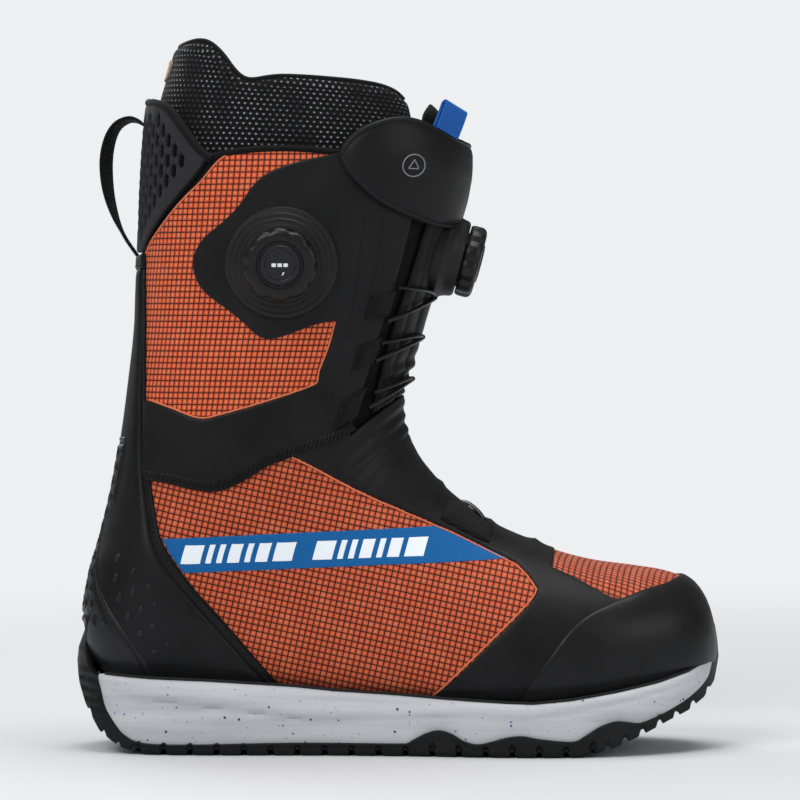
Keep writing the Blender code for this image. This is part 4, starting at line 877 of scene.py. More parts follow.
def even(points, step):
    """Points along a 3-D line at even steps."""
    p = np.asarray(points, float)
    run = run_length(p)
    count = max(2, int(round(run[-1] / step)) + 1)
    return resample(p, run, np.linspace(0, run[-1], count))


def on_skin(line, off, step=2.0, mirror=False):
    """A (u, v) line as even 3-D points at a height above the skin."""
    q = np.asarray(line, float)
    at = np.linspace(0, len(q) - 1, 12 * len(q))
    u, v = resample(q, np.arange(len(q)), at).T
    return even(skin(u, (1 - v) if mirror else v, off), step)


def stitches(name, lines, mat, pitch, length, radius):
    """Rows of short thread stitches along 3-D lines."""
    parts = []
    for line in lines:
        p = even(line, pitch)
        for a, b in zip(p[:-1], p[1:]):
            span = max(np.linalg.norm(b - a), 1e-6)
            d = (b - a) / span * min(length, span * 0.75) / 2
            middle = (a + b) / 2
            parts.append(tube([middle - d, middle - d * 0.6, middle + d * 0.6, middle + d],
                              [radius * 0.35, radius, radius, radius * 0.35], 6))
    return mesh_object(name, *merge(parts), mat, sharp=70)


def smooth_run(points, gap):
    """A curve through points, in steps of about gap."""
    if len(points) == 2:
        points = [points[0], tuple((a + b) / 2 for a, b in zip(*points)), points[1]]
    fine = spline(points, np.linspace(0, len(points) - 1, 40 * len(points)))
    run = run_length(fine)
    count = max(1, round(run[-1] / gap))
    return [tuple(p) for p in resample(fine, run, np.linspace(0, run[-1], count + 1))]


def runs(*parts, gap):
    """Curved runs meeting at corners, each from the end of the last; the end point is left off."""
    line, last = [], []
    for part in parts:
        line += smooth_run(last + part, gap)[:-1]
        last = [part[-1]]
    return line


def on_body(line):
    return [uv(x, z) for x, z in line]


def smooth_on_body(points, gap):
    return on_body(smooth_run(points, gap))


def round_back(line):
    """A lateral line closed by its mirror image round the back."""
    return list(line) + [(u, 1 - v) for u, v in reversed(line)]


def over_top(line):
    """A lateral line closed by its mirror image over the front."""
    return list(line) + [(u, -v) for u, v in reversed(line)]


def beside(line, by):
    """A side-view line moved sideways: to its right as it runs when positive."""
    q = np.array(line, float)
    d = unit(np.gradient(q, axis=0))
    return [tuple(p) for p in q + by * np.stack([d[:, 1], -d[:, 0]], 1)]


def round_line(u, v, half_u, half_v, angles):
    """An ellipse on the body, its half sizes in millimetres."""
    girth = ring_arc(u)
    return [(u + half_u * math.sin(t) / LENGTH, v + half_v * math.cos(t) / girth) for t in angles]


def reach(vs, line, off, low=0.45):
    """For each v, the u where the skin at height off meets a side-view line, z over x."""
    x, z = np.array(line).T
    us = np.linspace(low, 1.0, 260)
    out = []
    for v in vs:
        p = skin(us, np.full(len(us), v), off)
        gap = p[:, 2] - np.interp(p[:, 0], x, z)
        crossed = np.nonzero((gap[:-1] < 0) & (gap[1:] >= 0))[0]
        if len(crossed):
            k = crossed[-1]
            out.append(us[k] + (us[k + 1] - us[k]) * (-gap[k]) / (gap[k + 1] - gap[k]))
        else:
            out.append(us[-1] if gap[-1] < 0 else us[0])
    return np.array(out)


# -------------------------------------------------------------- the shell cloth
V_THROAT = 0.111  # the shell's front edges, each side of the tongue
U_THROAT = front_u(168.0)  # where the throat opens
SHELL_TOP = levelled([(-135, 309), (-113, 308.5), (-105, 303), (-98, 293), (-90, 283.2),
                      (-80, 282.6), (-60, 283.0), (-28, 281.5), (0, 282), (45, 282)])

shell_v = np.linspace(V_THROAT - 0.002, 1 - V_THROAT + 0.002, 170)
shell_top_u = reach(shell_v, SHELL_TOP, 0.0)
rows = [np.full(len(shell_v), u) for u in np.linspace(0.012, U_THROAT, 80)]
rows += [U_THROAT + (shell_top_u - U_THROAT) * t for t in np.linspace(0, 1, 61)[1:]]
shell_u = np.array(rows)
lip = np.zeros(shell_u.shape)
lip[-1] = -0.5
u, v = shell_u.ravel(), np.broadcast_to(shell_v, shell_u.shape).ravel()
shell = two_layers("shell_cloth", u, v, -0.75 + lip.ravel(), -2.6, grid_faces(*shell_u.shape),
                   MATS["shell"], cloth_leg(u, v, table(PLACE, u, v)))
fit(shell, "black_overlay", "lower_shell", "cuff_shell")

# ------------------------------------------------------------ the orange cloth
# Side-view outlines (x, z) before levelling; each list is one smooth run between corners.
QUARTER = runs(
    [(-118, 150), (-117, 135), (-115, 120), (-113.5, 104), (-109, 95), (-98, 79.5), (-83, 62),
     (-68, 44.5), (-57, 31)],
    [(-30, 30.5), (-10, 29), (13, 26)],
    [(32, 41), (47, 55.5), (62, 70), (66.6, 77.8)],
    [(61.5, 87), (56, 92), (51, 94.6), (31, 105), (16, 112), (1, 119), (-19, 128.8),
     (-39, 139.4), (-50, 146), (-58, 152)],
    [(-90, 152), (-118, 150)], gap=3.0)[:-1]
LEG_CLOTH = runs(
    [(-119, 236), (-117.5, 243), (-114, 247), (-107.5, 254.5), (-100, 263), (-91.5, 271),
     (-86, 277.5), (-82, 281.5)],
    [(-76, 284.3), (-65, 285), (-55, 285), (-40, 284), (-22, 282)],
    [(-24, 205), (-34, 170), (-38, 166)],
    [(-60, 164), (-80, 158.5), (-92, 156.2), (-105, 160), (-119, 166)],
    [(-119, 200)], gap=3.0)
TOE_CLOTH = [(67, 90.5), (85, 79), (95, 73), (101, 70.5), (106, 71), (116, 74), (126, 76.5),
             (135, 79)]
CLOTH_LAYER = dict(top=0.0, base=-1.2)
for side, flip in SIDES:
    fit(sheet(f"quarter_cloth_{side}", on_body(QUARTER), MATS["ripstop_low"], edge=-0.3,
              mirror=flip, cloth=cloth_foot, **CLOTH_LAYER),
        "orange_ripstop", f"quarter_panel_{side}")
    fit(sheet(f"leg_cloth_{side}", on_body(LEG_CLOTH), MATS["ripstop_up"], edge=-0.35,
              mirror=flip, **CLOTH_LAYER),
        "orange_ripstop", f"cuff_panel_{side}")
toe_loop = over_top([(vamp_u(69.5), 0.0)] + smooth_on_body(TOE_CLOTH, 3.0)
                    + [(vamp_u(137.5), 0.0)])
fit(sheet("toe_cloth", toe_loop, MATS["ripstop_toe"], edge=-0.3, cloth=cloth_top, **CLOTH_LAYER),
    "orange_ripstop", "toe_panel", rides="foot")

# ---------------------------------------------------------- black overlays, foot
SOLE_SIDE = [(13, 25.5), (30, 23), (57, 21), (80, 22.5), (100, 25), (120, 29), (133, 33),
             (141, 37)]
QUARTER_TOP = [(-58, 149), (-50, 143.4), (-39, 137.3), (-20, 126.5), (0, 117), (15, 110),
               (30, 103), (50, 92.7), (55, 90), (60, 85), (64.2, 79)]
QUARTER_TOE = [(64.2, 77), (60, 71.5), (45, 57), (30, 42.5), (13, 27)]
TOE_EDGE = [(71.5, 87.5), (85, 81), (95, 75.5), (101, 73), (105, 73.5), (115, 76.5),
            (125, 78.6), (131, 80.5)]
vamp_line = [(U_THROAT + 0.004, 0.0), (U_THROAT + 0.002, 0.06), (U_THROAT - 0.004, 0.11)]
vamp_line += on_body([(-30, 158.5), (-45, 154)] + smooth_run(QUARTER_TOP, 3.0)
                     + smooth_run(QUARTER_TOE, 3.0)[1:] + smooth_run(SOLE_SIDE, 4.0))
vamp_line += [(0.035, 0.42), (0.016, 0.44), (0.010, 0.40)]
toe_hole = over_top([(vamp_u(73.5), 0.0)] + smooth_on_body(TOE_EDGE, 2.5) + [(vamp_u(133.5), 0.0)])
fit(sheet("vamp_overlay", over_top(vamp_line), MATS["overlay"], top=0.85, edge=0.35, base=-0.7,
          mesh_mm=3.4, holes=[toe_hole], girth=330.0), "black_overlay")

CAP_TOP = [(131.6, 79.8), (125, 77.6), (115, 75.4), (105, 72.2)]
CAP_EDGE = [(101.5, 71.5), (90, 67), (82, 62), (76, 56), (70, 48), (60, 34.5), (54, 24)]
CAP_LOW = [(60, 21)] + SOLE_SIDE[3:]
toe_cap_line = [(vamp_u(134.5), 0.0)] + smooth_on_body(CAP_TOP, 2.5)
toe_cap_line += smooth_on_body(CAP_EDGE, 3.0) + smooth_on_body(CAP_LOW, 4.0)
toe_cap_line += [(0.035, 0.42), (0.016, 0.44), (0.006, 0.40)]
fit(sheet("toe_cap_overlay", over_top(toe_cap_line), MATS["toe"], top=1.45, edge=1.05, base=0.1,
          girth=260.0), "black_overlay", "toe_cap", rides="foot")

# The heel wing and backstay are one film from the hem to the sole.
WING = [(-118.3, 237.5), (-118.0, 215), (-118.0, 190), (-118.0, 165), (-117.6, 150), (-116, 135),
        (-113.6, 120), (-110.6, 106), (-105.2, 96), (-95, 82), (-80, 65), (-65, 47), (-52, 32)]
WING_LOW = [(-52, 32), (-70, 34), (-100, 35.5), (-125, 38), (-138, 42)]
wing_side = smooth_run(WING, 2.6)
wing_loop = round_back([(back_u(235.0), 0.5)] + on_body(wing_side + smooth_run(WING_LOW, 4.0)[1:])
                       + [(back_u(52.0), 0.46), (back_u(52.0), 0.5)])


def wing_relief(u, v, d):
    """A raised body inside a groove that follows the edge."""
    body = np.clip((d - 4.1) / 1.8, 0, 1) ** 0.7
    return body - 0.75 * np.exp(-(((d - 3.8) / 0.55) ** 2))


fit(sheet("heel_wing_overlay", wing_loop, MATS["overlay"], top=0.85, edge=0.4, base=-0.7,
          mesh_mm=2.8, relief=wing_relief, rings=[(3.3, 0.0), (3.9, 0.0), (4.5, 0.0), (5.4, 0.0)]),
    "black_overlay", "heel_wing", "backstay")

stitch_line = on_body(beside(wing_side, 2.0)[2:-3])
stitch_rows = [on_skin(stitch_line, 0.98, mirror=flip) for flip in (False, True)]
fit(stitches("wing_stitching", stitch_rows, MATS["thread"], pitch=2.5, length=1.6, radius=0.28),
    "black_overlay")
for side, flip in SIDES:
    edge_line = on_skin(on_body(wing_side[1:-2]), 0.55, mirror=flip)
    fit(cord(f"wing_edge_{side}", edge_line, 0.5, MATS["piping"], 6), "black_overlay")

# --------------------------------------------------------- dimpled heel moulding
DIMPLE_TOP = ((151.5, 17.0), (149.0, 19.2), (142, 19.8), (134, 20.0), (126, 20.2),
              (118, 20.6))  # z, half width round the back
DIMPLE_SIDE = [(-137, 110), (-138.8, 98), (-139.2, 90), (-137.6, 82), (-133.6, 73),
               (-127.6, 64), (-120.5, 54), (-115, 45), (-112, 37)]
dimple_line = [(back_u(152.0), 0.5)] + [back_point(z, y) for z, y in DIMPLE_TOP]
dimple_line += smooth_on_body(DIMPLE_SIDE, 2.0) + on_body([(-120, 37), (-130, 39), (-138, 42)])
dimple_line += [(back_u(50.0), 0.46), (back_u(50.0), 0.5)]


def dimples(u, v, d):
    """Staggered rimmed dimples inside a grooved border."""
    row_pitch, column_pitch, first_z = 7.0, 7.2, 62.0
    s = (v - 0.5) * ring_arc(u)
    z = table(PLACE, u, v)[:, 2]
    row = np.round((z - first_z) / row_pitch)
    shift = (row % 2) * column_pitch / 2
    centre_s = np.round((s - shift) / column_pitch) * column_pitch + shift
    r = np.hypot(s - centre_s, z - (first_z + row * row_pitch))
    wide = np.where(z > 88, 17.0, 17.0 + (88 - z) * 0.75)
    zone = (np.abs(s) < wide) & (z > 60) & (z < 145) & (d > 3.2)
    pit = -1.5 * np.clip(1.9 - r, 0, 0.8) / 0.8 + 0.3 * np.exp(-(((r - 2.3) / 0.4) ** 2))
    return np.where(zone, pit, 0.0) - 0.9 * np.exp(-(((d - 2.4) / 0.6) ** 2))


fit(sheet("heel_moulding", round_back(dimple_line), MATS["heel"], top=2.3, edge=1.4, base=0.2,
          mesh_mm=0.95, gap=1.4, relief=dimples, rings=[(1.9, 0.0), (2.4, 0.0), (2.9, 0.0)]),
    "black_overlay", "heel_dimple_overlay")

# Round studs beside the moulding: side view x, z and radius.
STUDS = (
    (-129.5, 96, 1.5), (-130.5, 87, 1.6), (-129.0, 78, 1.6), (-125.0, 69.5, 1.6),
    (-119.5, 61.5, 1.5), (-113.0, 53.5, 1.3), (-122.5, 90, 1.4), (-122.8, 80.5, 1.5),
    (-119.0, 72.5, 1.4), (-113.5, 65, 1.3), (-107.0, 57, 1.1), (-115.5, 83, 1.2),
    (-112.5, 75, 1.1))
# Share of the radius, share of the height.
DOME_PROFILE = ((1.0, -0.5), (1.0, 0.0), (0.86, 0.55), (0.62, 0.85), (0.3, 1.0))


def dome(u, v, radius, tall, off):
    angles = np.linspace(0, 2 * math.pi, 17)[:-1]
    places = np.array([(*place, off + tall * height) for share, height in DOME_PROFILE
                       for place in round_line(u, v, radius * share, radius * share, angles)])
    return skin(*places.T), grid_faces(5, 16, loop=True) + end_caps(5, 16, swap=True)


studs = []
for x, z, radius in STUDS:
    u, v = uv(x, z)
    studs += [dome(u, v_side, radius, 0.8, 1.75) for v_side in (v, 1 - v)]
fit(oriented(mesh_object("heel_studs", *merge(studs), MATS["heel"], sharp=70)),
    "black_overlay", rides="foot")

# --------------------------------------------------------------- black, the leg
BAND_LOW = [(-113.5, 135), (-105, 133.5), (-95, 131), (-85, 130), (-78, 132), (-70, 136),
            (-62, 141), (-55, 143.5), (-40, 149), (-30, 152), (-22, 157)]
BAND_TOP = [(-119, 169), (-115.8, 169), (-105, 165), (-92, 160.3), (-80, 162.5), (-60, 168),
            (-38, 175.5)]
band_loop = smooth_on_body(BAND_TOP, 3.0) + [uv(-37, 180)]
band_loop += [(front_u(184.0), 0.142), (front_u(184.0), 0.116)]
band_loop += [(front_u(z), 0.1125) for z in (178.0, 173.0)]
band_loop += [(U_THROAT + 0.004, 0.114), (U_THROAT - 0.012, 0.118)]
band_loop += on_body(list(reversed(smooth_run([(-119, 135)] + BAND_LOW, 3.0))))
PATCH = runs(
    [(-22, 283.2), (-35, 280.5), (-45, 278.5), (-55, 275.6), (-62, 272.2), (-68, 266.5),
     (-72, 260.5), (-78, 254), (-84, 249), (-90, 244), (-94, 238), (-95, 232), (-94, 226),
     (-90, 219.5), (-84, 214.5), (-78, 210), (-72, 205), (-67, 200), (-63, 197.5), (-58, 197),
     (-52, 198.6), (-45, 201), (-38, 203.3), (-29, 205)],
    [(-32, 193), (-37, 180), (-38, 173)], gap=2.6)
patch_loop = on_body(PATCH) + [(front_u(174.0), 0.15), (front_u(171.0), 0.1135)]
patch_loop += [(front_u(z), 0.1125) for z in range(178, 283, 8)] + [(front_u(284.0), 0.113)]
DIAL_UV = uv(-54, 232)
dial_centre = one_point(skin, *DIAL_UV)


def dial_swell(u, v, d):
    """The lateral patch swells under the dial, with two pressed rings round it."""
    r = np.linalg.norm(table(PLACE, u, v) - dial_centre, axis=1)
    return (0.9 * np.clip(1 - (r - 20) / 12, 0, 1) ** 1.5
            - 0.25 * np.exp(-(((r - 27.5) / 0.8) ** 2)) - 0.2 * np.exp(-(((r - 31) / 0.8) ** 2)))


def ribs(u, v, d):
    s = cloth_leg(u, v, table(PLACE, u, v))[:, 0]
    return 0.42 * np.sin(2 * math.pi * s / 2.6) * np.clip(d / 1.0, 0, 1)


# The band's lower rim is a ribbed edge that stands a little off the foot.
fringe_line = smooth_run([(-117.6, 135.4)] + BAND_LOW, 1.6)
fringe_loop = on_body(beside(fringe_line, 3.2)) + on_body(beside(fringe_line, -1.6)[::-1])
for side, flip in SIDES:
    fit(sheet(f"ankle_band_overlay_{side}", band_loop, MATS["overlay_soft"], top=1.05, edge=0.55,
              base=-0.6, mirror=flip, mesh_mm=3.0), "black_overlay", f"ankle_band_{side}")
    fit(sheet(f"dial_patch_overlay_{side}", patch_loop, MATS["overlay"], base=-0.6, mirror=flip,
              mesh_mm=2.6, relief=None if flip else dial_swell, rings=[(2.4, -0.12)]),
        "black_overlay", f"dial_patch_{side}")
    # Reversing before the offset would move the edge the other way.
    fit(sheet(f"band_fringe_{side}", fringe_loop, MATS["overlay_soft"], top=1.75, edge=1.0,
              base=0.3, mirror=flip, mesh_mm=0.8, gap=0.9, relief=ribs), "black_overlay")

# Light welded edges where the black films end on the orange cloth: name, line, height.
WELDED_EDGES = (
    ("leg_rear", [(-118.4, 238), (-114.5, 245), (-108, 253.2), (-100.5, 261.6), (-92, 269.6),
                  (-86.5, 276), (-82, 280.5), (-76, 283.2), (-65, 284), (-55, 284), (-40, 283),
                  (-24, 281.4)], 0.15),
    ("leg_low", [(-115.8, 169.6), (-105, 165.7), (-92, 161.0), (-80, 163.2), (-60, 168.7),
                 (-38.6, 175.8), (-37.3, 181), (-32.6, 193), (-29.6, 204.4)], 0.30),
    ("foot_top", [(-55, 145.2), (-50, 142.3), (-39, 136.4), (-20, 125.6), (0, 116.1),
                  (15, 109.1), (30, 102.1), (50, 91.8), (54.5, 89.3), (59.3, 84.5), (63.3, 79),
                  (63.4, 77.4), (59.4, 72.2), (44.3, 57.6), (29.3, 43.2), (14, 28.5)], 0.25))
for side, flip in SIDES:
    for name, line, off in WELDED_EDGES:
        points = on_skin(smooth_on_body(line, 2.5), off, mirror=flip)
        fit(cord(f"welded_edge_{name}_{side}", points, 0.42, MATS["binding"], 6),
            "orange_ripstop")

# ------------------------------------------------------------------ the stripe
STRIPE = runs([(-109.5, 105.2), (-60, 106.6), (-20, 107.4), (18, 108.2)],
              [(24, 105.4), (36, 99.6), (50, 92.7)],
              [(30, 91.9), (-20, 91.0), (-60, 90.2), (-99.5, 89.4)],
              [(-104.8, 96.5), (-109.5, 105.2)], gap=2.6)[:-1]
BAR_WIDTHS = [9.0, 2.6, 2.6, 5.6, 2.6, 5.6, 9.0]  # one group of printed bars
BAR_START, BAR_END, BAR_GAP, GROUP_GAP = -101.0, 20, 2.4, 9.5
BAR_HALF_HEIGHT, BAR_SLANT = 4.3, 2.4
for side, flip in SIDES:
    fit(sheet(f"stripe_tape_{side}", on_body(STRIPE), MATS["tape"], top=0.32, edge=0.2, base=-0.5,
              mirror=flip, cloth=cloth_foot, mesh_mm=3.4), "blue_tape", f"stripe_{side}")
    bars, x = [], BAR_START
    while x < BAR_END:
        wide = BAR_WIDTHS[len(bars) % len(BAR_WIDTHS)]
        middle = 98.6 + 0.012 * (x + 40)
        low, high = middle - BAR_HALF_HEIGHT, middle + BAR_HALF_HEIGHT
        shape = [(x, low), (x + wide, low), (x + wide + BAR_SLANT, high), (x + BAR_SLANT, high)]
        bars.append(sheet(f"bar_{side}_{len(bars) + 1}", on_body(shape), MATS["tape_print"],
                          top=0.50, edge=0.46, base=0.1, mirror=flip, cloth=cloth_foot,
                          mesh_mm=3.0, gap=1.2))
        x += wide + (BAR_GAP if len(bars) % len(BAR_WIDTHS) else GROUP_GAP)
    bpy.ops.object.select_all(action="DESELECT")
    for bar in bars:
        bar.select_set(True)
    bpy.context.view_layer.objects.active = bars[0]
    bpy.ops.object.join()
    joined = bpy.context.view_layer.objects.active
    joined.name = f"stripe_bars_{side}"
    fit(joined, "blue_tape")

# ---------------------------------------------------------- the backstay's hem
hem_loop = round_back([(back_u(236.5), 0.5), (back_u(236.5) + 0.0012, 0.46)]
                      + on_body([(-118.4, 238.2), (-118.3, 231.5)])
                      + [(back_u(230.0) + 0.0012, 0.46), (back_u(230.0), 0.5)])
fit(sheet("backstay_hem", hem_loop, MATS["overlay_soft"], top=2.2, edge=1.6, base=0.6,
          mesh_mm=2.2), "black_overlay")
hem_line = [(back_u(231.8), 0.5), (back_u(231.8), 0.46), uv(-118.2, 231.6)]
stitch_rows = [on_skin(hem_line, 2.25, mirror=flip) for flip in (False, True)]
fit(stitches("hem_stitching", stitch_rows, MATS["thread"], pitch=2.4, length=1.5, radius=0.26),
    "black_overlay")

# A small plain embroidered mark: an oval ring with a bar and two short strokes.
mark_u = back_u(214.0)
oval = round_line(mark_u, 0.5, 6.2, 3.4, np.linspace(0, 2 * math.pi, 41))
mark_parts = [tube(on_skin(oval, 1.6, 0.8)[:-1], 0.38, 6, closed=True)]
for along, across in ((2.2, 0.0), (-0.2, 1.2), (-0.2, -1.2)):
    bar = [(mark_u + (along + end) / LENGTH, 0.5 + across / ring_arc(mark_u))
           for end in (-1.6, 1.2)]
    mark_parts.append(tube(on_skin(bar, 1.6, 0.8), 0.38, 6))
fit(mesh_object("backstay_mark", *merge(mark_parts), MATS["mark"], sharp=70), "orange_ripstop")

# -------------------------------------------------------------------- the sole
# Plan outline (x, y) from the toe tip round the lateral side.
FOOTPRINT = [
    (151.5, 5), (149, -9.5), (143, -22), (132, -35.5), (115, -47), (92, -55), (66, -58),
    (38, -55.5), (8, -50), (-25, -46.5), (-60, -45.5), (-95, -45), (-122, -40), (-140, -29),
    (-149, -15), (-152, 0), (-149, 15), (-140, 29), (-122, 40), (-95, 44), (-60, 43), (-25, 40),
    (8, 41.5), (38, 47), (66, 51.5), (92, 52), (115, 47.5), (132, 38.5), (143, 28.5), (149, 18),
]
EDGE_COUNT = 1080  # points round the outsole
fine = spline(FOOTPRINT[-1:] + FOOTPRINT + FOOTPRINT[:2],
              np.linspace(1, len(FOOTPRINT) + 1, 4001))
fine_run = run_length(fine)
PERIMETER = fine_run[-1]
edge_run = np.linspace(0, PERIMETER, EDGE_COUNT + 1)[:-1]
EDGE_XY = resample(fine, fine_run, edge_run)
tangent = unit(np.roll(EDGE_XY, -1, axis=0) - np.roll(EDGE_XY, 1, axis=0))
EDGE_OUT = np.stack([-tangent[:, 1], tangent[:, 0]], 1)
if (EDGE_OUT * EDGE_XY).sum() < 0:
    EDGE_OUT = -EDGE_OUT
lateral_edge = EDGE_XY[EDGE_XY[:, 1] <= 5.0]
medial_edge = EDGE_XY[EDGE_XY[:, 1] > -0.5]
lateral_edge = lateral_edge[np.argsort(lateral_edge[:, 0])]
medial_edge = medial_edge[np.argsort(medial_edge[:, 0])]


def side_y(x, sign):
    """How far out the sole's edge is at x, lateral for -1."""
    line = lateral_edge if sign < 0 else medial_edge
    return np.abs(np.interp(x, line[:, 0], line[:, 1]))


# Heights (x, z): the midsole's top, where foam meets rubber, and the outsole's underside.
MID_TOP = levelled([
    (-141, 41.5), (-137, 42), (-115, 40.3), (-90, 39.0), (-50, 35.8), (-30, 33.4), (0, 31.0),
    (20, 29.0), (50, 26.8), (62, 26.2), (80, 27.6), (100, 30.4), (120, 34), (135, 38),
    (143, 41.6), (147.2, 44.5)])
MID_LOW = sorted(levelled([
    (147.2, 40.5), (144.6, 33.6), (138, 27.6), (129, 22.4), (120, 18.4), (112, 15.8),
    (106, 16.5), (100, 17), (93, 15), (86, 11), (80, 8.5), (65, 10), (57, 11.5), (50, 11),
    (42, 9), (36, 8), (30, 9.5), (24, 13), (18, 14.5), (12, 13), (5, 9.5), (0, 8.5),
    (-50, 9.5), (-100, 9.5), (-120, 10.5), (-128, 14), (-133, 20), (-137, 27), (-139, 35),
    (-141, 41.0)]))
UNDERSIDE = [
    (-152.2, 41), (-150.8, 31.5), (-147, 21.5), (-140, 9.9), (-134, 5.4), (-129, 2.4),
    (-117, 0.0), (84, 0.0), (95, 2.4), (105, 6.2), (115, 10.6), (125, 15.4), (135, 19.6),
    (143, 24.8), (148.4, 31.5), (151.2, 42.0)]
mid_low_line = spline(MID_LOW, np.linspace(0, len(MID_LOW) - 1, 600))
mid_low_line = mid_low_line[np.argsort(mid_low_line[:, 0])]


def mid_top(x):
    return np.interp(x, *zip(*MID_TOP))


def mid_low(x):
    return np.interp(x, mid_low_line[:, 0], mid_low_line[:, 1])


def low_z(x):
    return np.interp(x, *zip(*UNDERSIDE))


# The crease along the midsole's wall: x stations with heights, and x stations with depths.
CREASE_Z = ([-130, -123, -100, -70, -40, -10, 30, 60, 100, 135],
            [27, 25.5, 23, 19.5, 15.5, 17, 18, 17, 24, 32])
CREASE_DEPTH = ([-135, -122, -60, -30, 0, 40, 120, 140], [0, 1.9, 1.9, 0.9, 0.45, 0.6, 0.5, 0])


def midsole_section(x):
    """The loop of points round the midsole at x."""
    top, low = mid_top(x), mid_low(x)
    tall = max(top - low, 0.3)
    t = np.linspace(0, 1, 15)
    z = low + tall * t
    crease_z, depth = np.interp(x, *CREASE_Z), np.interp(x, *CREASE_DEPTH)
    grow = np.minimum(tall / 14.0, 1.0)
    bulge = grow * (1.7 * np.sin(math.pi * np.clip(t, 0, 1)) ** 0.8 - 0.9 * (t > 0.999))
    bulge = bulge - depth * np.exp(-(((z - crease_z) / 1.1) ** 2))
    bulge = bulge - 0.6 * depth * ease((crease_z - z) / 2.5)
    bulge = bulge - 0.5 + 0.5 * grow * ease((z - crease_z) / 4.0)
    loop = []
    for sign in (-1, 1):
        w = side_y(x, sign)
        inner = max(w * 0.3, 0.5)
        part = [(x, sign * inner, low + 1.6), (x, sign * (w - 4.0), low + 0.6)]
        part += [(x, sign * (w + out), height) for out, height in zip(bulge, z)]
        part += [(x, sign * (w - 2.2), top + 0.35), (x, sign * (w - 5.0), top - 1.0),
                 (x, sign * inner, top - 7.0 * grow)]
        loop += part if sign < 0 else part[::-1]
    return loop


xs = np.unique(np.concatenate([np.linspace(-141, -120, 30), np.linspace(-120, 120, 161),
                               np.linspace(120, 147.2, 36)]))
sections = [midsole_section(x) for x in xs]
shape = (len(xs), len(sections[0]))
midsole = mesh_object("midsole_foam", [p for loop in sections for p in loop],
                      grid_faces(*shape, loop=True) + end_caps(*shape, swap=True),
                      MATS["foam"], sharp=50)
fit(oriented(midsole), "foam", "midsole", rides="foot")

# The outsole: a wall that wraps heel and toe, a bevelled underside with edge lugs, and a
# tread plate inside it. Its rows are loops round the boot.
LUG_PITCH = 12.6
edge_x, edge_y = EDGE_XY.T
heel_y, toe_y = np.abs(edge_y), np.abs(edge_y - 4)
heel_rise = (level(-141, 41.0) + 4.0 * np.clip((29.5 - heel_y) / 10.0, 0, 1)
             + ease((25.0 - heel_y) / 14.0) * 14.5 + ease((10 - heel_y) / 10) * 1.6)
toe_rise = 45.0 + ease((21 - toe_y) / 12) * 12.5 + ease((9 - toe_y) / 9) * 2.2
wall_top = np.where(edge_x < -140.0, heel_rise,
                    np.where(edge_x > 146.4, toe_rise, mid_low(edge_x) - 0.25))
near_heel = ease((-118 - edge_x) / 14)
near_toe = ease((edge_x - 112) / 20)
near_end = np.maximum(near_heel, near_toe)
phase = (edge_run / PERIMETER * round(PERIMETER / LUG_PITCH)) % 1.0
# Gaps between the edge lugs, along the sides only.
gaps = np.exp(-(((phase - 0.5) / 0.11) ** 6)) * (ease((edge_x + 126) / 6)
                                                 * ease((100 - edge_x) / 8))


def underside_row(d):
    """The loop of points under the boot, d millimetres out from its edge."""
    q = EDGE_XY + EDGE_OUT * d
    x = q[:, 0]
    z = low_z(x) + 1.6 * ease((d + 1.2) / 1.2) ** 2 * (1 - 0.7 * near_end)
    toe_phase = np.where(x > 90, ((x - 90) / 8.2) % 1.0, 0.0)
    heel_phase = np.where(x < -118, ((-118 - x) / 7.0) % 1.0, 0.0)
    tooth = (2.6 * (ease((toe_phase - 0.55) / 0.12) * ease((0.97 - toe_phase) / 0.14))
             * ease((x - 92) / 3) * ease((147 - x) / 3))
    tooth = tooth + (1.9 * (ease((heel_phase - 0.62) / 0.1) * ease((0.96 - heel_phase) / 0.1))
                     * ease((-119 - x) / 3))
    floor_rise = 2.4 * ease((-13.4 - d) / 0.8) * (1 - 0.9 * near_end)
    return np.column_stack([q, z + 2.3 * ease((d + 14.3) / 1.2) * gaps + tooth + floor_rise])


def wall_row(t, bottom_z):
    """The loop of points on the outer wall, t of the way up."""
    z = bottom_z + (np.maximum(wall_top, bottom_z + 1.2) - bottom_z) * t
    at_heel = np.interp(z, [0, 38, 47, 55, 62], [0.0, 0.2, -0.6, -3.4, -5.0])
    at_toe = np.interp(z, [0, 42, 50, 57, 62], [0.0, 0.0, -0.6, -1.7, -4.0])
    at_side = 0.15 + 0.5 * ease((t - 0.55) / 0.3)
    out = at_side * (1 - near_end) + at_heel * near_heel + at_toe * near_toe
    ridge = (0.55 * np.exp(-((((z - 40.5) % 4.6) - 2.3) / 0.7) ** 2) * near_heel
             * ease((40 - z) / 3) * ease((z - 14) / 4))
    out = out - ridge - 1.3 * gaps * ease((0.45 - t) / 0.3)
    return np.column_stack([EDGE_XY + EDGE_OUT * out[:, None], z])


rows = [underside_row(d) for d in np.concatenate(
    [[-15.5, -14.0], np.linspace(-13.2, -1.2, 25), [-0.7, -0.35, -0.12, 0.0]])]
bottom_z = rows[-1][:, 2]
rows += [wall_row(t, bottom_z) for t in np.linspace(0, 1, 19)[1:]]
top_row = rows[-1]
for out, up in ((-1.4, 0.45), (-3.0, 0.0), (-4.0, -2.5)):
    rows.append(np.column_stack([top_row[:, :2] + EDGE_OUT * out, top_row[:, 2] + up]))
inner_xy = EDGE_XY - EDGE_OUT * 15.5
rows.append(np.column_stack([inner_xy, np.minimum(low_z(inner_xy[:, 0]) + 5.2, rows[-1][:, 2])]))
faces = grid_faces(len(rows), EDGE_COUNT, loop=True)

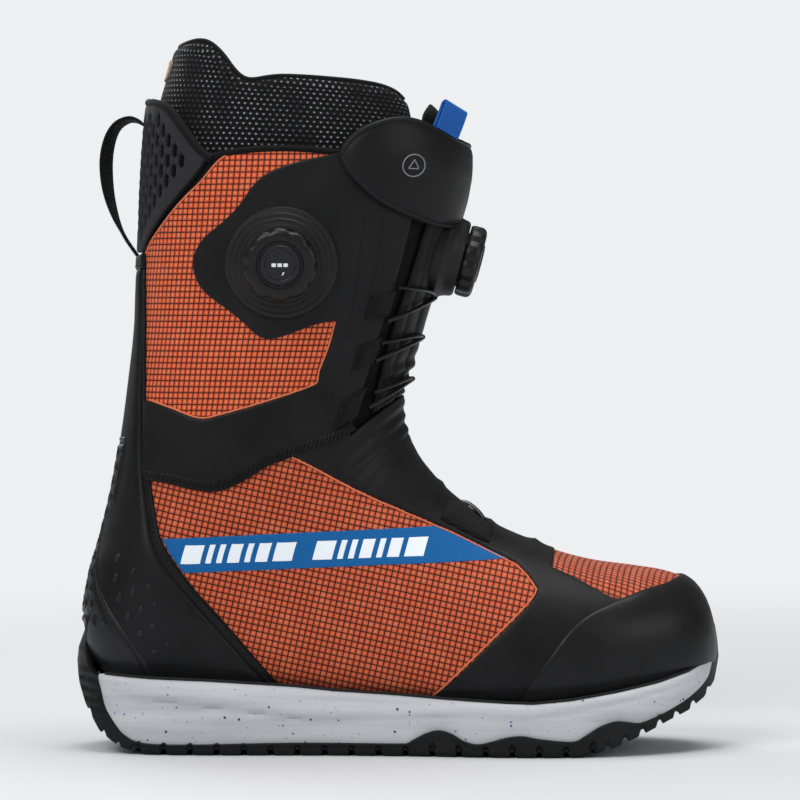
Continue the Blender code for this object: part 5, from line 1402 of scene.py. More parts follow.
# The tread plate closes the inner loops above and below; the triangulation works on the
# single-precision outline.
plate_loop = [tuple(Vector((float(a), float(b)))) for a, b in rows[0][:, :2]]
gx, gy = np.meshgrid(np.arange(-140, 142, 5.0), np.arange(-45, 42, 5.0))
cloud = np.stack([gx.ravel(), gy.ravel()], 1)
cloud = cloud[inside(cloud, plate_loop)]
cloud = cloud[away(cloud, [plate_loop]) > 3.0]
flat, plate = triangulated(plate_loop + [tuple(p) for p in cloud],
                           [(i, (i + 1) % EDGE_COUNT) for i in range(EDGE_COUNT)], 1, 1e-5)
plate_xy = flat[EDGE_COUNT:]
plate_x = plate_xy[:, 0]
plate_ends = np.maximum(ease((-112 - plate_x) / 14), ease((plate_x - 88) / 14))
plate_z = low_z(plate_x) + 2.4 * (1 - 0.9 * plate_ends)
below_start = len(rows) * EDGE_COUNT
above_start = below_start + len(plate_xy)
last_row = (len(rows) - 1) * EDGE_COUNT
for f in plate:
    faces.append(tuple(i if i < EDGE_COUNT else below_start + i - EDGE_COUNT for i in f))
    faces.append(tuple(last_row + i if i < EDGE_COUNT else above_start + i - EDGE_COUNT
                       for i in reversed(f)))
points = np.concatenate(rows + [np.column_stack([plate_xy, plate_z]),
                                np.column_stack([plate_xy, plate_z + 3.0])])
fit(oriented(mesh_object("outsole_rubber", points, faces, MATS["rubber"], sharp=42)),
    "tread_rubber", "outsole", rides="foot")


def lug(x, y0, y1, wide, lean=0.0, root=3.2, face=0.15, taper=0.7, tilt=False):
    """A tapered block from y0 to y1, root up and face down; lean shifts its y1 end in x."""
    q = np.array([(x, y0), (x + wide, y0), (x + wide + lean, y1), (x + lean, y1)], float)
    centre = q.mean(axis=0)
    inward = taper / np.maximum(np.linalg.norm(q - centre, axis=1), 1)[:, None]
    end = centre + (q - centre) * (1 - inward)
    shoulder = centre + (q - centre) * (1 - 0.15 * inward)
    root_rise = low_z(q[:, 0]) if tilt else np.zeros(4)
    end_rise = low_z(end[:, 0]) if tilt else np.zeros(4)
    points = np.concatenate([np.column_stack([q, root + root_rise]),
                             np.column_stack([shoulder, face + 0.35 + root_rise]),
                             np.column_stack([end, face + end_rise])])
    return points, end_caps(3, 4) + grid_faces(3, 4, loop=True)


lugs = []
for x in np.arange(-28, 88, 11.5):
    for sign in (-1, 1):
        reach_y = side_y(x, sign) - 17.5
        if not -12 < x < 14 and reach_y >= 9:
            lugs.append(lug(x, sign * 3.0, sign * reach_y, 5.4, lean=-4.0))
for x in (-52, -40):
    lugs += [lug(x, sign * 3.0, sign * (side_y(x, sign) - 17.5), 5.4, lean=3.6)
             for sign in (-1, 1)]
for x in (-68, -79, -90, -101):
    lugs += [lug(x, sign * 12.5, sign * (side_y(x, sign) - 17.0), 6.2) for sign in (-1, 1)]
END_LUG = dict(wide=5.2, root=2.4, face=0.1, taper=0.6, tilt=True)
for x in (97, 105.5, 114, 122.5, 130):
    reach_y = min(side_y(x, -1), side_y(x, 1)) - 15.5
    if reach_y > 4:
        lugs += [lug(x, y0 * reach_y, y1 * reach_y, **END_LUG)
                 for y0, y1 in ((-1, -0.34), (-0.28, 0.28), (0.34, 1))]
for x in (-118, -127, -134):
    reach_y = side_y(x, 1) - 15.0
    if reach_y > 4:
        lugs += [lug(x, y0 * reach_y, y1 * reach_y, **END_LUG) for y0, y1 in ((-1, -0.1), (0.1, 1))]
fit(oriented(mesh_object("tread_lugs", *merge(lugs), MATS["rubber"], sharp=30)),
    "tread_rubber", rides="foot")

# An oval window under the heel: a rubber rim round a rippled gel pad.
WINDOW_X, WINDOW_POINTS = -84, 72
GEL_HALF_X, GEL_HALF_Y, RIPPLE_PITCH = 23.2, 8.5, 4.4
RIM = ((25.5, 10.8, 3.0), (25.2, 10.5, 0.9), (24.6, 9.9, 0.3), (23.9, 9.2, 0.5),
       (23.3, 8.6, 2.6))  # half length, half width, z
window_angle = np.linspace(0, 2 * math.pi, WINDOW_POINTS + 1)[:-1]


def window_ring(half_x, half_y, z):
    return np.column_stack([WINDOW_X + half_x * np.cos(window_angle),
                            half_y * np.sin(window_angle), np.broadcast_to(z, WINDOW_POINTS)])


rim = mesh_object("gel_window_rim", np.concatenate([window_ring(*row) for row in RIM]),
                  grid_faces(len(RIM), WINDOW_POINTS, loop=True, closed=True),
                  MATS["rubber"], sharp=50)
fit(oriented(rim), "tread_rubber", rides="foot")

GEL_SHARES = (1.0, 0.96, 0.85, 0.7, 0.55, 0.4, 0.25, 0.1)
rows = []
for share in GEL_SHARES:
    ripple = np.cos(GEL_HALF_X * share * np.cos(window_angle) * 2 * math.pi / RIPPLE_PITCH)
    z = 1.0 + 1.1 * share**6 + 0.30 * ripple * (1 - share**8)
    rows.append(window_ring(GEL_HALF_X * share, GEL_HALF_Y * share, z))
rows.append(window_ring(GEL_HALF_X, GEL_HALF_Y, 5.5))
n = WINDOW_POINTS
middle_row, back_row = (tuple(k * n + i for i in range(n)) for k in (7, 8))
faces = grid_faces(len(GEL_SHARES), n, loop=True) + [middle_row]
faces += [(8 * n + i, 8 * n + (i + 1) % n, (i + 1) % n, i) for i in range(n)] + [back_row]
fit(oriented(mesh_object("heel_gel", np.concatenate(rows), faces, MATS["gel"], sharp=60)),
    "gel", "heel_gel_pad", rides="foot")

# Rows of white dashes across the tread: x and the height of the dashes' face.
dashes = [lug(x, j * 9 - 3.3, j * 9 + 3.3, 1.9, face=face, taper=0.3)
          for x, face in ((-4.0, 1.5), (3.5, 1.5), (88.5, 0.9)) for j in range(-2, 3)]
fit(oriented(mesh_object("white_dashes", *merge(dashes), MATS["dash"], sharp=40)),
    "foam", rides="foot")

# A fine parting line runs where the upper meets the midsole.
for sign, side in ((-1, "lateral"), (1, "medial")):
    line = [(x, sign * (side_y(x, sign) - 0.9), mid_top(x) + 0.5)
            for x in np.linspace(-137, 143, 180)]
    fit(cord(f"foxing_line_{side}", line, 0.7, MATS["thread_dark"], 6), "black_overlay",
        rides="foot")


# --------------------------------------------------------- instep loops and cable
def domed(tall, edge_width):
    """A relief that rises by tall within edge_width of the edge."""
    return lambda u, v, d: tall * np.clip(d / edge_width, 0, 1) ** 0.6


low_u, high_u = vamp_u(44.0), vamp_u(24.0)
for side, sign in V_SIDES:
    loop = [(low_u, sign * 0.048), (low_u, sign * 0.100),
            (high_u, sign * 0.100), (high_u, sign * 0.048)]
    fit(sheet(f"instep_loop_{side}", loop, MATS["web_black"], top=1.5, edge=0.9, base=0.2,
              mesh_mm=1.8, gap=1.3, relief=domed(1.7, 5.0)),
        "black_overlay", f"instep_guide_{side}", rides="foot")
share = np.arange(33) / 32
path = skin(np.array([vamp_u(28.0 + 12 * f) for f in share]), -0.052 + 0.104 * share, 1.9)
fit(cord("instep_cord", path, 0.95, MATS["cable"], 10), "cable", "instep_cable", rides="foot")

# ----------------------------------------------------------- the collar's mesh
COLLAR_FRONT = [(-112, 307.4), (-108, 305.4), (-105, 302.2), (-98, 292.2), (-92, 284.6),
                (-88.4, 281.0)]
COLLAR_LOW = [(-88.4, 281.0), (-92.4, 274.6), (-101, 264.8), (-108.6, 256), (-114.6, 247.6),
              (-117.6, 242), (-118.8, 238.5)]
CELL_ACROSS, CELL_ALONG = 4.35, 8.3  # pitch of the honeycomb
HEXAGON = ((3.35, 0), (1.8, 1.52), (-1.8, 1.52), (-3.35, 0), (-1.8, -1.52), (1.8, -1.52))
honey_loop = round_back([(back_u(307.6), 0.5), (back_u(307.4), 0.46)]
                        + on_body(smooth_run(COLLAR_FRONT, 2.6) + smooth_run(COLLAR_LOW, 2.6)[1:])
                        + [(back_u(238.5), 0.5)])
honey_girth = float(ring_arc(np.mean([p[0] for p in honey_loop])))
flat_honey = dense([(u * LENGTH, v * honey_girth) for u, v in honey_loop], 1.6)
cells = []
for column in range(-30, 31):
    for row in range(-4, 14):
        s = 0.5 * honey_girth + column * CELL_ACROSS
        t = back_u(238.0) * LENGTH + row * CELL_ALONG + (CELL_ALONG / 2 if column % 2 else 0.0)
        hexagon = [(t + along, s + across) for along, across in HEXAGON]
        if (inside(hexagon, flat_honey).all()
                and (away(hexagon, [flat_honey]) > 1.5).all()):
            cells.append([(a / LENGTH, b / honey_girth) for a, b in hexagon])
fit(sheet("collar_honeycomb", honey_loop, MATS["honey"], top=1.9, edge=1.1, base=0.0,
          mesh_mm=30.0, gap=1.7, holes=cells, girth=honey_girth),
    "collar_mesh", "collar_panel", rides="cuff")
fit(sheet("collar_backing", honey_loop, MATS["backing"], top=0.05, edge=0.0, base=-0.5,
          mesh_mm=5.0), "collar_mesh", rides="cuff")

ends = smooth_on_body([(-114, 308.0)] + COLLAR_FRONT[:-1] + [(-86.5, 280.4)], 2.2)
rim_line = [(u, 1 - v) for u, v in reversed(ends)]
rim_line += [(back_u(z), v) for z, v in ((308.2, 0.54), (308.6, 0.52), (308.8, 0.5),
                                         (308.6, 0.48), (308.2, 0.46))] + ends
for name, off, radius in (("collar_piping", 0.6, 1.9), ("collar_piping_inner", -1.6, 1.5)):
    fit(cord(name, on_skin(rim_line, off, 1.6), radius, MATS["piping"], 12), "black_overlay",
        rides="cuff")
SHELL_BINDING = [(-86.5, 281.4), (-78, 283.0), (-65, 284.2), (-50, 284.2), (-38, 283.2),
                 (-26, 281.8), (-14, 281.8)]
# Name, line, height, radius, sides.
BINDINGS = (("collar_lower_binding", COLLAR_LOW[:-1], 0.7, 0.75, 8),
            ("shell_top_binding", SHELL_BINDING, -0.9, 1.7, 10))
for side, flip in SIDES:
    for name, line, off, radius, sides in BINDINGS:
        points = on_skin(smooth_on_body(line, 2.4), off, mirror=flip)
        fit(cord(f"{name}_{side}", points, radius, MATS["piping"], sides), "black_overlay",
            rides="cuff")

# --------------------------------------------------------------- the pull loop
LOOP_LINE = [(-119.5, 298.0), (-123, 300.6), (-127.5, 301.4), (-133.0, 298.4), (-136.6, 291.5),
             (-138.2, 281), (-137.2, 268), (-134.0, 256), (-129.4, 246), (-124.5, 238.6),
             (-121.6, 234.5)]
LOOP_CENTRE = np.array([-124.0, 0, 268.0])
HALF_WIDTH, HALF_THICK, LOOP_TWIST = 7.2, 0.65, 19.0
half = [(-HALF_WIDTH, -HALF_THICK * 0.6), (-HALF_WIDTH + 0.4, -HALF_THICK), (-2.4, -HALF_THICK),
        (2.4, -HALF_THICK), (HALF_WIDTH - 0.4, -HALF_THICK), (HALF_WIDTH, -HALF_THICK * 0.6)]
LOOP_SECTION = half + [(y, -h) for y, h in reversed(half)]
line = np.array(smooth_run(levelled(LOOP_LINE), 1.6))
run = run_length(line)
points, cloth = [], []
for (x, z), (dx, dz), so_far in zip(line, unit(np.gradient(line, axis=0)), run):
    roll = math.radians(LOOP_TWIST * math.sin(math.pi * min(1, so_far / run[-1] * 1.25)))
    flat_side, normal = np.array([0.0, 1.0, 0.0]), np.array([-dz, 0.0, dx])
    across = flat_side * math.cos(roll) + normal * math.sin(roll)
    through = normal * math.cos(roll) - flat_side * math.sin(roll)
    for y, height in LOOP_SECTION:
        points.append(np.array([x, 0, z]) + across * y + through * height)
        cloth.append((so_far, y))
shape = (len(line), len(LOOP_SECTION))
pull_loop = oriented(mesh_object("pull_loop_webbing", points,
                                 grid_faces(*shape, loop=True) + end_caps(*shape),
                                 [MATS["web_black"], MATS["loop_print"]], cloth, sharp=50))
# The outer face shows the printed side.
for poly in pull_loop.data.polygons:
    outward = np.array(poly.center) / MM - LOOP_CENTRE
    outward[1] = 0
    normal = np.array(poly.normal)
    faces_out = normal.dot(outward / np.linalg.norm(outward)) > 0.45
    poly.material_index = 1 if faces_out and abs(normal[1]) < 0.6 else 0
fit(pull_loop, "webbing", "pull_loop", rides="cuff")

# ------------------------------------------------------------------- the liner
COLLAR_TOP = levelled([
    (-140, 334.0), (-107, 334.0), (-101, 335.2), (-94, 336.5), (-88, 335), (-82, 329),
    (-77, 321.5), (-71, 315.5), (-63, 317.2), (-55, 318), (-40, 317), (-20, 315), (-8, 313),
    (0, 310), (5, 305), (15, 300), (60, 297)])
LINER_V, LINER_U = 0.101, 0.52  # the liner's front edges and its lowest ring
ROLL_RADIUS = 5.2
ROLL_OFF = -4.2 - 1.4 - ROLL_RADIUS  # depth of the roll's centre
KNIT, LINING = 0, 1  # material slots

liner_v = np.linspace(LINER_V, 1 - LINER_V, 150)
rim_u = reach(liner_v, COLLAR_TOP, -7.0, low=0.80)
kernel = np.array([1, 2, 3, 2, 1]) / 9.0
for _ in range(2):
    rim_u = np.convolve(np.pad(rim_u, 2, mode="edge"), kernel, mode="valid")
rim_u = rim_u + 1.0 / LENGTH
top_u = rim_u - ROLL_RADIUS / LENGTH
liner_rows = []  # u, height, material slot: up the outside, over the roll, down the inside
for t in np.linspace(0, 1, 47):
    u = LINER_U + (top_u - LINER_U) * t
    left = (top_u - u) * LENGTH
    liner_rows.append((u, -4.2 - 1.4 * ease(1 - left / 26.0), KNIT))
for angle in np.linspace(0, math.pi, 13)[1:]:
    liner_rows.append((top_u + ROLL_RADIUS * math.sin(angle) / LENGTH,
                       np.full(len(liner_v), ROLL_OFF + ROLL_RADIUS * math.cos(angle)),
                       KNIT if angle < 0.95 else LINING))
for t in np.linspace(1, 0, 46)[1:]:
    u = LINER_U + (top_u - LINER_U) * t
    left = (top_u - u) * LENGTH
    liner_rows.append((u, ROLL_OFF - ROLL_RADIUS + 4.4 * ease(left / 30.0), LINING))
liner_u = np.array([row[0] for row in liner_rows])
offs = np.array([row[1] for row in liner_rows])
# The two front edges close to a rounded rim too.
edge_fade = ease(np.minimum(liner_v - LINER_V, 1 - LINER_V - liner_v) / 0.030)
offs = ROLL_OFF + (offs - ROLL_OFF) * (0.25 + 0.75 * edge_fade[None, :] ** 0.5)
nr, nc = liner_u.shape
u, v = liner_u.ravel(), np.broadcast_to(liner_v, liner_u.shape).ravel()
faces = grid_faces(nr, nc)
slots = [row[2] for row in liner_rows[:-1] for _ in range(nc - 1)]
pairs = [(i, nr - 1 - i) for i in range(nr // 2 - 1)]
faces += [(inner * nc, i * nc, (i + 1) * nc, (inner - 1) * nc) for i, inner in pairs]
faces += [(i * nc + nc - 1, inner * nc + nc - 1, (inner - 1) * nc + nc - 1, (i + 1) * nc + nc - 1)
          for i, inner in pairs]
faces += [(j, (nr - 1) * nc + j, (nr - 1) * nc + j + 1, j + 1) for j in range(nc - 1)]
slots += [LINING] * (len(faces) - len(slots))
liner = mesh_object("liner_collar", skin(u, v, offs.ravel()), faces,
                    [MATS["dots"], MATS["lining"]],
                    cloth=np.column_stack([(v - 0.5) * 400.0, u * LENGTH]), sharp=80)
for poly, slot in zip(liner.data.polygons, slots):
    poly.material_index = slot
oriented(liner)


def vertex_places(obj):
    return np.array([v.co for v in obj.data.vertices])


def puffed(obj, pinned):
    """Inflates a padded piece a little with a cloth simulation, its sewn points held."""
    frames, limit = 20, 0.0026  # the furthest a point may move, in metres
    before = vertex_places(obj)
    group = obj.vertex_groups.new(name="sewn")
    group.add([int(i) for i in pinned], 1.0, "ADD")
    mod = obj.modifiers.new("padding", "CLOTH")
    settings = mod.settings
    settings.quality = 5
    settings.mass = 0.25
    settings.tension_stiffness = settings.compression_stiffness = 14.0
    settings.shear_stiffness = 8.0
    settings.bending_stiffness = 0.6
    settings.use_pressure = True
    settings.uniform_pressure_force = 4.0
    settings.vertex_group_mass = "sewn"
    settings.effector_weights.gravity = 0.0
    mod.collision_settings.use_collision = False
    scene = bpy.context.scene
    scene.frame_start, scene.frame_end = 1, frames
    mod.point_cache.frame_start, mod.point_cache.frame_end = 1, frames
    for frame in range(1, frames + 1):
        scene.frame_set(frame)
    move = vertex_places(obj.evaluated_get(bpy.context.evaluated_depsgraph_get())) - before
    obj.modifiers.remove(mod)
    scene.frame_set(1)
    far = np.linalg.norm(move, axis=1)
    move *= np.where(far > limit, limit / np.maximum(far, 1e-9), 1.0)[:, None]
    move[~np.isfinite(move).all(axis=1)] = 0
    obj.data.vertices.foreach_set("co", (before + move).ravel())
    obj.data.update()
    obj.vertex_groups.clear()


def subdivided(obj):
    mod = obj.modifiers.new("smooth", "SUBSURF")
    mod.levels = mod.render_levels = 1


# Held points: the low rows, two seams, the front edges and five quilting lines.
PIPING_ROW = 50
held_rows = [*range(30), 40, PIPING_ROW, *range(nr - 30, nr)]
pinned = {i * nc + j for i in held_rows for j in range(nc)}
pinned |= {i * nc + j for i in range(nr) for j in (0, nc - 1)}
pinned |= {i * nc + j for i in range(24, 50, 2) for j in (28, 50, 74, 98, 121)}
puffed(liner, sorted(pinned))
subdivided(liner)
fit(liner, "liner_knit", "liner_leg")

piping = vertex_places(liner)[PIPING_ROW * nc : (PIPING_ROW + 1) * nc] / MM
fit(cord("liner_piping", even(piping[2:-2], 2.4), 1.25, MATS["piping"], 10), "liner_knit",
    rides="cuff")

# The liner's foot is a closed sock, its toe rings shrunk to a rounded end.
sock_u = np.concatenate([[0.062, 0.066], np.linspace(0.074, 0.585, 72)])
sock_v = np.linspace(0, 1, 97)[:-1]
rows = []
for inset, first_u, order in ((6.2, 0.068, sock_u), (11.2, 0.082, sock_u[::-1])):
    for u in order:
        shrink = 1.0 if u > 0.07 else (0.82 if u > 0.064 else 0.45)
        ring = shrunk_ring(max(u, first_u), sock_v, inset)
        centre = ring.mean(axis=0)
        rows.append(centre + (ring - centre) * shrink)
shape = (len(rows), len(sock_v))
sock_cloth = np.column_stack([
    np.tile(sock_v * 330.0, len(rows)),
    np.repeat(np.concatenate([sock_u, sock_u[::-1]]) * LENGTH, len(sock_v))])
sock = mesh_object("liner_sock", np.concatenate(rows),
                   grid_faces(*shape, loop=True) + end_caps(*shape, swap=True),
                   MATS["lining"], sock_cloth, sharp=80)
fit(oriented(sock), "liner_knit", "liner_foot")

# The plain label on the back of the raised collar, a rounded patch thrown onto the liner.
LABEL_HALF_Y, LABEL_LOW, LABEL_HIGH, LABEL_CORNER = 13.0, 313.5, 323.0, 3.0
LABEL_NY, LABEL_NZ = 27, 12
tree = BVHTree.FromPolygons([tuple(v.co) for v in liner.data.vertices],
                            [tuple(p.vertices) for p in liner.data.polygons])


def label_point(y, z):
    """The liner's place and outward normal behind (y, z), drawn in at the label's corners."""
    middle, half_z = (LABEL_LOW + LABEL_HIGH) / 2, (LABEL_HIGH - LABEL_LOW) / 2
    straight_y, straight_z = LABEL_HALF_Y - LABEL_CORNER, half_z - LABEL_CORNER
    dy = max(0, abs(y) - straight_y)
    dz = max(0, abs(z - middle) - straight_z)
    r = math.hypot(dy, dz)
    if r > LABEL_CORNER:
        y = math.copysign(straight_y + dy * LABEL_CORNER / r, y)
        z = middle + math.copysign(straight_z + dz * LABEL_CORNER / r, z - middle)
    hit, normal, _, _ = tree.ray_cast(Vector((-0.2, y * MM, z * MM)), Vector((1, 0, 0)))
    if hit is None:  # beside the liner: a flat place just behind it
        hit, normal = Vector((-0.104, y * MM, z * MM)), Vector((-1, 0, 0))
    if normal.x > 0:
        normal = -normal
    return np.array(hit) / MM, np.array(normal)


label_grid = [label_point(-LABEL_HALF_Y + 2 * LABEL_HALF_Y * j / (LABEL_NY - 1),
                          LABEL_LOW + (LABEL_HIGH - LABEL_LOW) * i / (LABEL_NZ - 1))
              for i in range(LABEL_NZ) for j in range(LABEL_NY)]
places, normals = (np.array(part) for part in zip(*label_grid))
label_top = places + normals * 0.85
points, faces = closed_sheet(label_top, places - normals * 0.3, grid_faces(LABEL_NZ, LABEL_NY),
                             normals)
label_cloth = np.column_stack([
    np.tile(np.linspace(-LABEL_HALF_Y, LABEL_HALF_Y, LABEL_NY), LABEL_NZ),
    np.repeat(np.linspace(0, LABEL_HIGH - LABEL_LOW, LABEL_NZ), LABEL_NY)])
fit(mesh_object("collar_label", points, faces, MATS["label"], np.tile(label_cloth, (2, 1)),
                sharp=50), "label", "liner_label", rides="cuff")
border = [(0, j) for j in range(LABEL_NY)] + [(i, LABEL_NY - 1) for i in range(1, LABEL_NZ)]
border += [(LABEL_NZ - 1, j) for j in range(LABEL_NY - 2, -1, -1)]
border += [(i, 0) for i in range(LABEL_NZ - 2, 0, -1)]
border = np.array([label_top[min(max(i, 1), LABEL_NZ - 2) * LABEL_NY
                             + min(max(j, 1), LABEL_NY - 2)] for i, j in border])
fit(stitches("label_stitching", [border], MATS["label_edge"], pitch=1.6, length=1.0,
             radius=0.18), "label", rides="cuff")

# ------------------------------------------------------------------ the tongue
TONGUE_V, TONGUE_ARC = 0.104, 34.5  # half width as v, and its limit in millimetres


def pad(name, u0, u1, half_v, inner, outer, nu, nv, mat, relief=None, rise=0.0, round_mm=4.0,
        tuck=0.0):
    """A padded tongue-shaped piece between two heights, with rounded edges."""
    uu, ww = np.meshgrid(np.linspace(u0, u1, nu), np.linspace(-1, 1, nv), indexing="ij")
    half = np.minimum(half_v, TONGUE_ARC * half_v / TONGUE_V / ring_arc(uu))
    corner = 1 - 0.30 * ease((uu - (u1 - 10 / LENGTH)) / (10 / LENGTH)) ** 3
    vv = ww * half * corner
    curved_u = uu + rise * np.abs(ww) ** 1.5 * ((uu - u0) / (u1 - u0)) ** 3
    from_end = np.minimum((uu - u0), (u1 - uu)) * LENGTH
    from_side = (1 - np.abs(ww)) * half * ring_arc(uu)
    inward = np.clip(np.minimum(from_end, from_side) / round_mm, 0, 1)
    full = np.sqrt(np.clip(1 - (1 - inward) ** 2, 0, 1))
    middle, swell = (inner + outer) / 2, (outer - inner) / 2 * (0.12 + 0.88 * full)
    high, low = middle + swell, middle - swell
    if relief is not None:
        high = high + relief(curved_u, vv) * full
    tucked = tuck * np.clip(1 - (uu - u0) * LENGTH / 9.0, 0, 1)
    u, v = curved_u.ravel(), vv.ravel()
    return two_layers(name, u, v, (high - tucked).ravel(), (low - tucked).ravel(),
                      grid_faces(nu, nv), mat, np.column_stack([v * 400.0, u * LENGTH]), 80)


def tongue_relief(u, v):
    """Cross folds low on the tongue, two long channels each side and a raised middle."""
    s = v * 400.0
    t = (u - U_THROAT) * LENGTH
    folds = (0.9 * np.sin(t / 7.4 * 2 * math.pi / 1.9 + 0.6 * np.sin(s / 9.0))
             * np.exp(-((t - 16) / 26.0) ** 2))
    channels = -1.0 * (np.exp(-(((np.abs(s) - 15.0) / 1.4) ** 2))
                       + 0.8 * np.exp(-(((np.abs(s) - 27.0) / 1.4) ** 2)))
    return folds + channels + 1.6 * np.exp(-((s / 12.0) ** 4)) * ease((t - 18) / 14)


fit(pad("tongue_shell", U_THROAT + 0.004, front_u(282.0), TONGUE_V, -2.6, 0.9, 110, 61,
        MATS["overlay_soft"], relief=tongue_relief, tuck=1.0),
    "black_overlay", "tongue", rides="tongue")
PAD_NU, PAD_NV = 60, 41
padding = pad("tongue_padding", U_THROAT + 0.008, front_u(300.0), 0.098, -12.0, -3.6, PAD_NU,
              PAD_NV, MATS["lining"], rise=0.016, round_mm=6.0)
oriented(padding)
lower_half = range(30 * PAD_NV)
puffed(padding, [*lower_half, *(PAD_NU * PAD_NV + i for i in lower_half)])
subdivided(padding)
fit(padding, "liner_knit", "liner_tongue", rides="tongue")

CAP_HIGH = [(22, 289), (15, 293), (8, 296.5), (0, 298), (-8, 297), (-18, 293), (-25, 287),
            (-28, 281)]
CAP_UNDER = [(-28, 281), (-24.5, 273), (-18, 265.5), (-10, 259), (-2, 254.6), (8, 250.5),
             (15, 248)]
cap_loop = over_top([(front_u(286.5), 0.0), (front_u(287.0), 0.035)]
                    + on_body(smooth_run(CAP_HIGH, 2.5)[:-1] + smooth_run(CAP_UNDER, 2.5))
                    + [(front_u(246.0), 0.0)])
fit(sheet("tongue_cap_overlay", cap_loop, MATS["overlay"], top=4.6, edge=3.4, base=2.2,
          mesh_mm=2.6, relief=lambda u, v, d: 0.55 * ease((d - 3.4) / 1.2)
          + 0.8 * ease((d - 6) / 14.0),
          rings=[(1.9, 0.0), (2.5, -0.45), (3.1, -0.2), (3.8, 0.0)]),
    "black_overlay", "tongue_cap", rides="tongue")
# Padding fills in between the cap and the tongue.
fit(sheet("tongue_cap_padding", cap_loop, MATS["lining"], top=2.9, edge=2.0, base=-0.6,
          mesh_mm=4.0), "black_overlay", rides="tongue")


def tongue_stretch(sign, cuff_y):
    """Bodies and points, in metres, for a blend between the cuff outside and the tongue inside; fit
    only fixes the piece in place.
    """
    return "cuff", "tongue", (0.0, sign * cuff_y, 0.2), (0.0, sign * 0.0290, 0.2)


# Thin gussets close the gap between the tongue and the shell on each side.
GUSSET = (90, 22)
gusset_u, gusset_v = (grid.ravel() for grid in np.meshgrid(
    np.linspace(U_THROAT - 0.010, front_u(281.5), GUSSET[0]),
    np.linspace(0.066, 0.136, GUSSET[1]), indexing="ij"))
fold = (0.35 * np.sin((gusset_u - U_THROAT) * LENGTH / 2.3 + 30 * gusset_v)
        * np.exp(-(((gusset_v - 0.1) / 0.018) ** 2)))
for side, flip in SIDES:
    v = 1 - gusset_v if flip else gusset_v
    gusset = two_layers(f"tongue_gusset_{side}", gusset_u, v, -3.0 + fold, -3.6 + fold,
                        grid_faces(*GUSSET), MATS["lining"],
                        np.column_stack([v * 400.0, gusset_u * LENGTH]), 80)
    fit(gusset, "black_overlay", rides=tongue_stretch(1.0 if flip else -1.0, 0.0405))

# A small plain mark on the cap's lateral side: a ring round a triangle.
BADGE_OFF = 5.85
badge_uv = uv(4.0, 276.0)
circle = round_line(*badge_uv, 5.4, 5.4, np.linspace(0, 2 * math.pi, 49))
triangle = round_line(*badge_uv, 2.9, 2.9, np.radians([90, 210, 330, 450]))
badge = merge([tube(on_skin(circle, BADGE_OFF, 0.7)[:-1], 0.34, 6, closed=True),
               tube(on_skin(triangle, BADGE_OFF, 0.5), 0.34, 6)])
fit(mesh_object("cap_badge", *badge, MATS["mark_grey"], sharp=70), "label", rides="tongue")

# ------------------------------------------------------------- throat and cords
# Name, height of the loops, heights the crossed cords run between, half reach as v.
THROAT = (("upper", 216.0, (223.0, 209.0), 0.112), ("middle", 197.0, (200.5, 193.5), 0.112),
          ("lower", 178.0, (180.0, 174.5), 0.098))
for name, z, _, _ in THROAT:
    low_u, high_u = front_u(z - 5.0), front_u(z + 5.0)
    for side, sign in V_SIDES:
        loop = [(low_u, sign * 0.109), (low_u + 0.001, sign * 0.140),
                (high_u - 0.001, sign * 0.140), (high_u, sign * 0.109)]
        fit(sheet(f"throat_loop_{name}_{side}", loop, MATS["web_black"], top=1.9, edge=1.2,
                  base=0.5, mesh_mm=1.6, gap=1.2, relief=domed(1.5, 3.2)),
            "dial_inner", f"throat_guide_{name}_{side}", rides="cuff")


def throat_cord(start, end, half_v, first):
    """Half of one cord across the throat, from station first of 40; it lifts at the crossing."""
    path = []
    for k in range(first, first + 21):
        f = k / 40
        lift = 3.0 + (0.5 if start > end else -0.35) * math.exp(-((f - 0.5) / 0.12) ** 2)
        path.append(one_point(skin, front_u(start + (end - start) * f),
                              -half_v + 2 * half_v * f, lift))
    return tube(even(path, 1.5), 0.95, 10)


for name, _, (high, low), half_v in THROAT:
    for side, first, sign, stands_for in (("lateral", 20, -1.0, [f"throat_cable_{name}"]),
                                          ("medial", 0, 1.0, [])):
        parts = [throat_cord(high, low, half_v, first), throat_cord(low, high, half_v, first)]
        fit(mesh_object(f"throat_cord_{name}_{side}", *merge(parts), MATS["cable"], sharp=70),
            "cable", *stands_for, rides=tongue_stretch(sign, 0.0385))

# Raised ridges inside the front edge of each patch: name, v and z at the top and the bottom.
RIDGES = (("a", 0.150, 262.0, 0.143, 206.0), ("b", 0.172, 252.0, 0.160, 206.0))
for side, flip in SIDES:
    for name, top_v, top_z, low_v, ridge_z in RIDGES:
        line = [(front_u(z), top_v + (low_v - top_v) * (top_z - z) / (top_z - ridge_z))
                for z in np.linspace(top_z, ridge_z, 12)]
        fit(cord(f"patch_ridge_{name}_{side}", on_skin(line, 0.55, mirror=flip), 0.75,
                 MATS["overlay"], 8), "black_overlay", rides="cuff")


# ------------------------------------------------------------------- the dials
def dial_frame(place, out):
    """A dial's place and its own x, y and outward axes."""
    out = unit(np.array(out, float))
    across = unit(np.cross((0, 0, 1), out))
    return place, np.array([across, np.cross(out, across), out])


def to_world(points, frame):
    place, axes = frame
    return np.array(points) @ axes + place


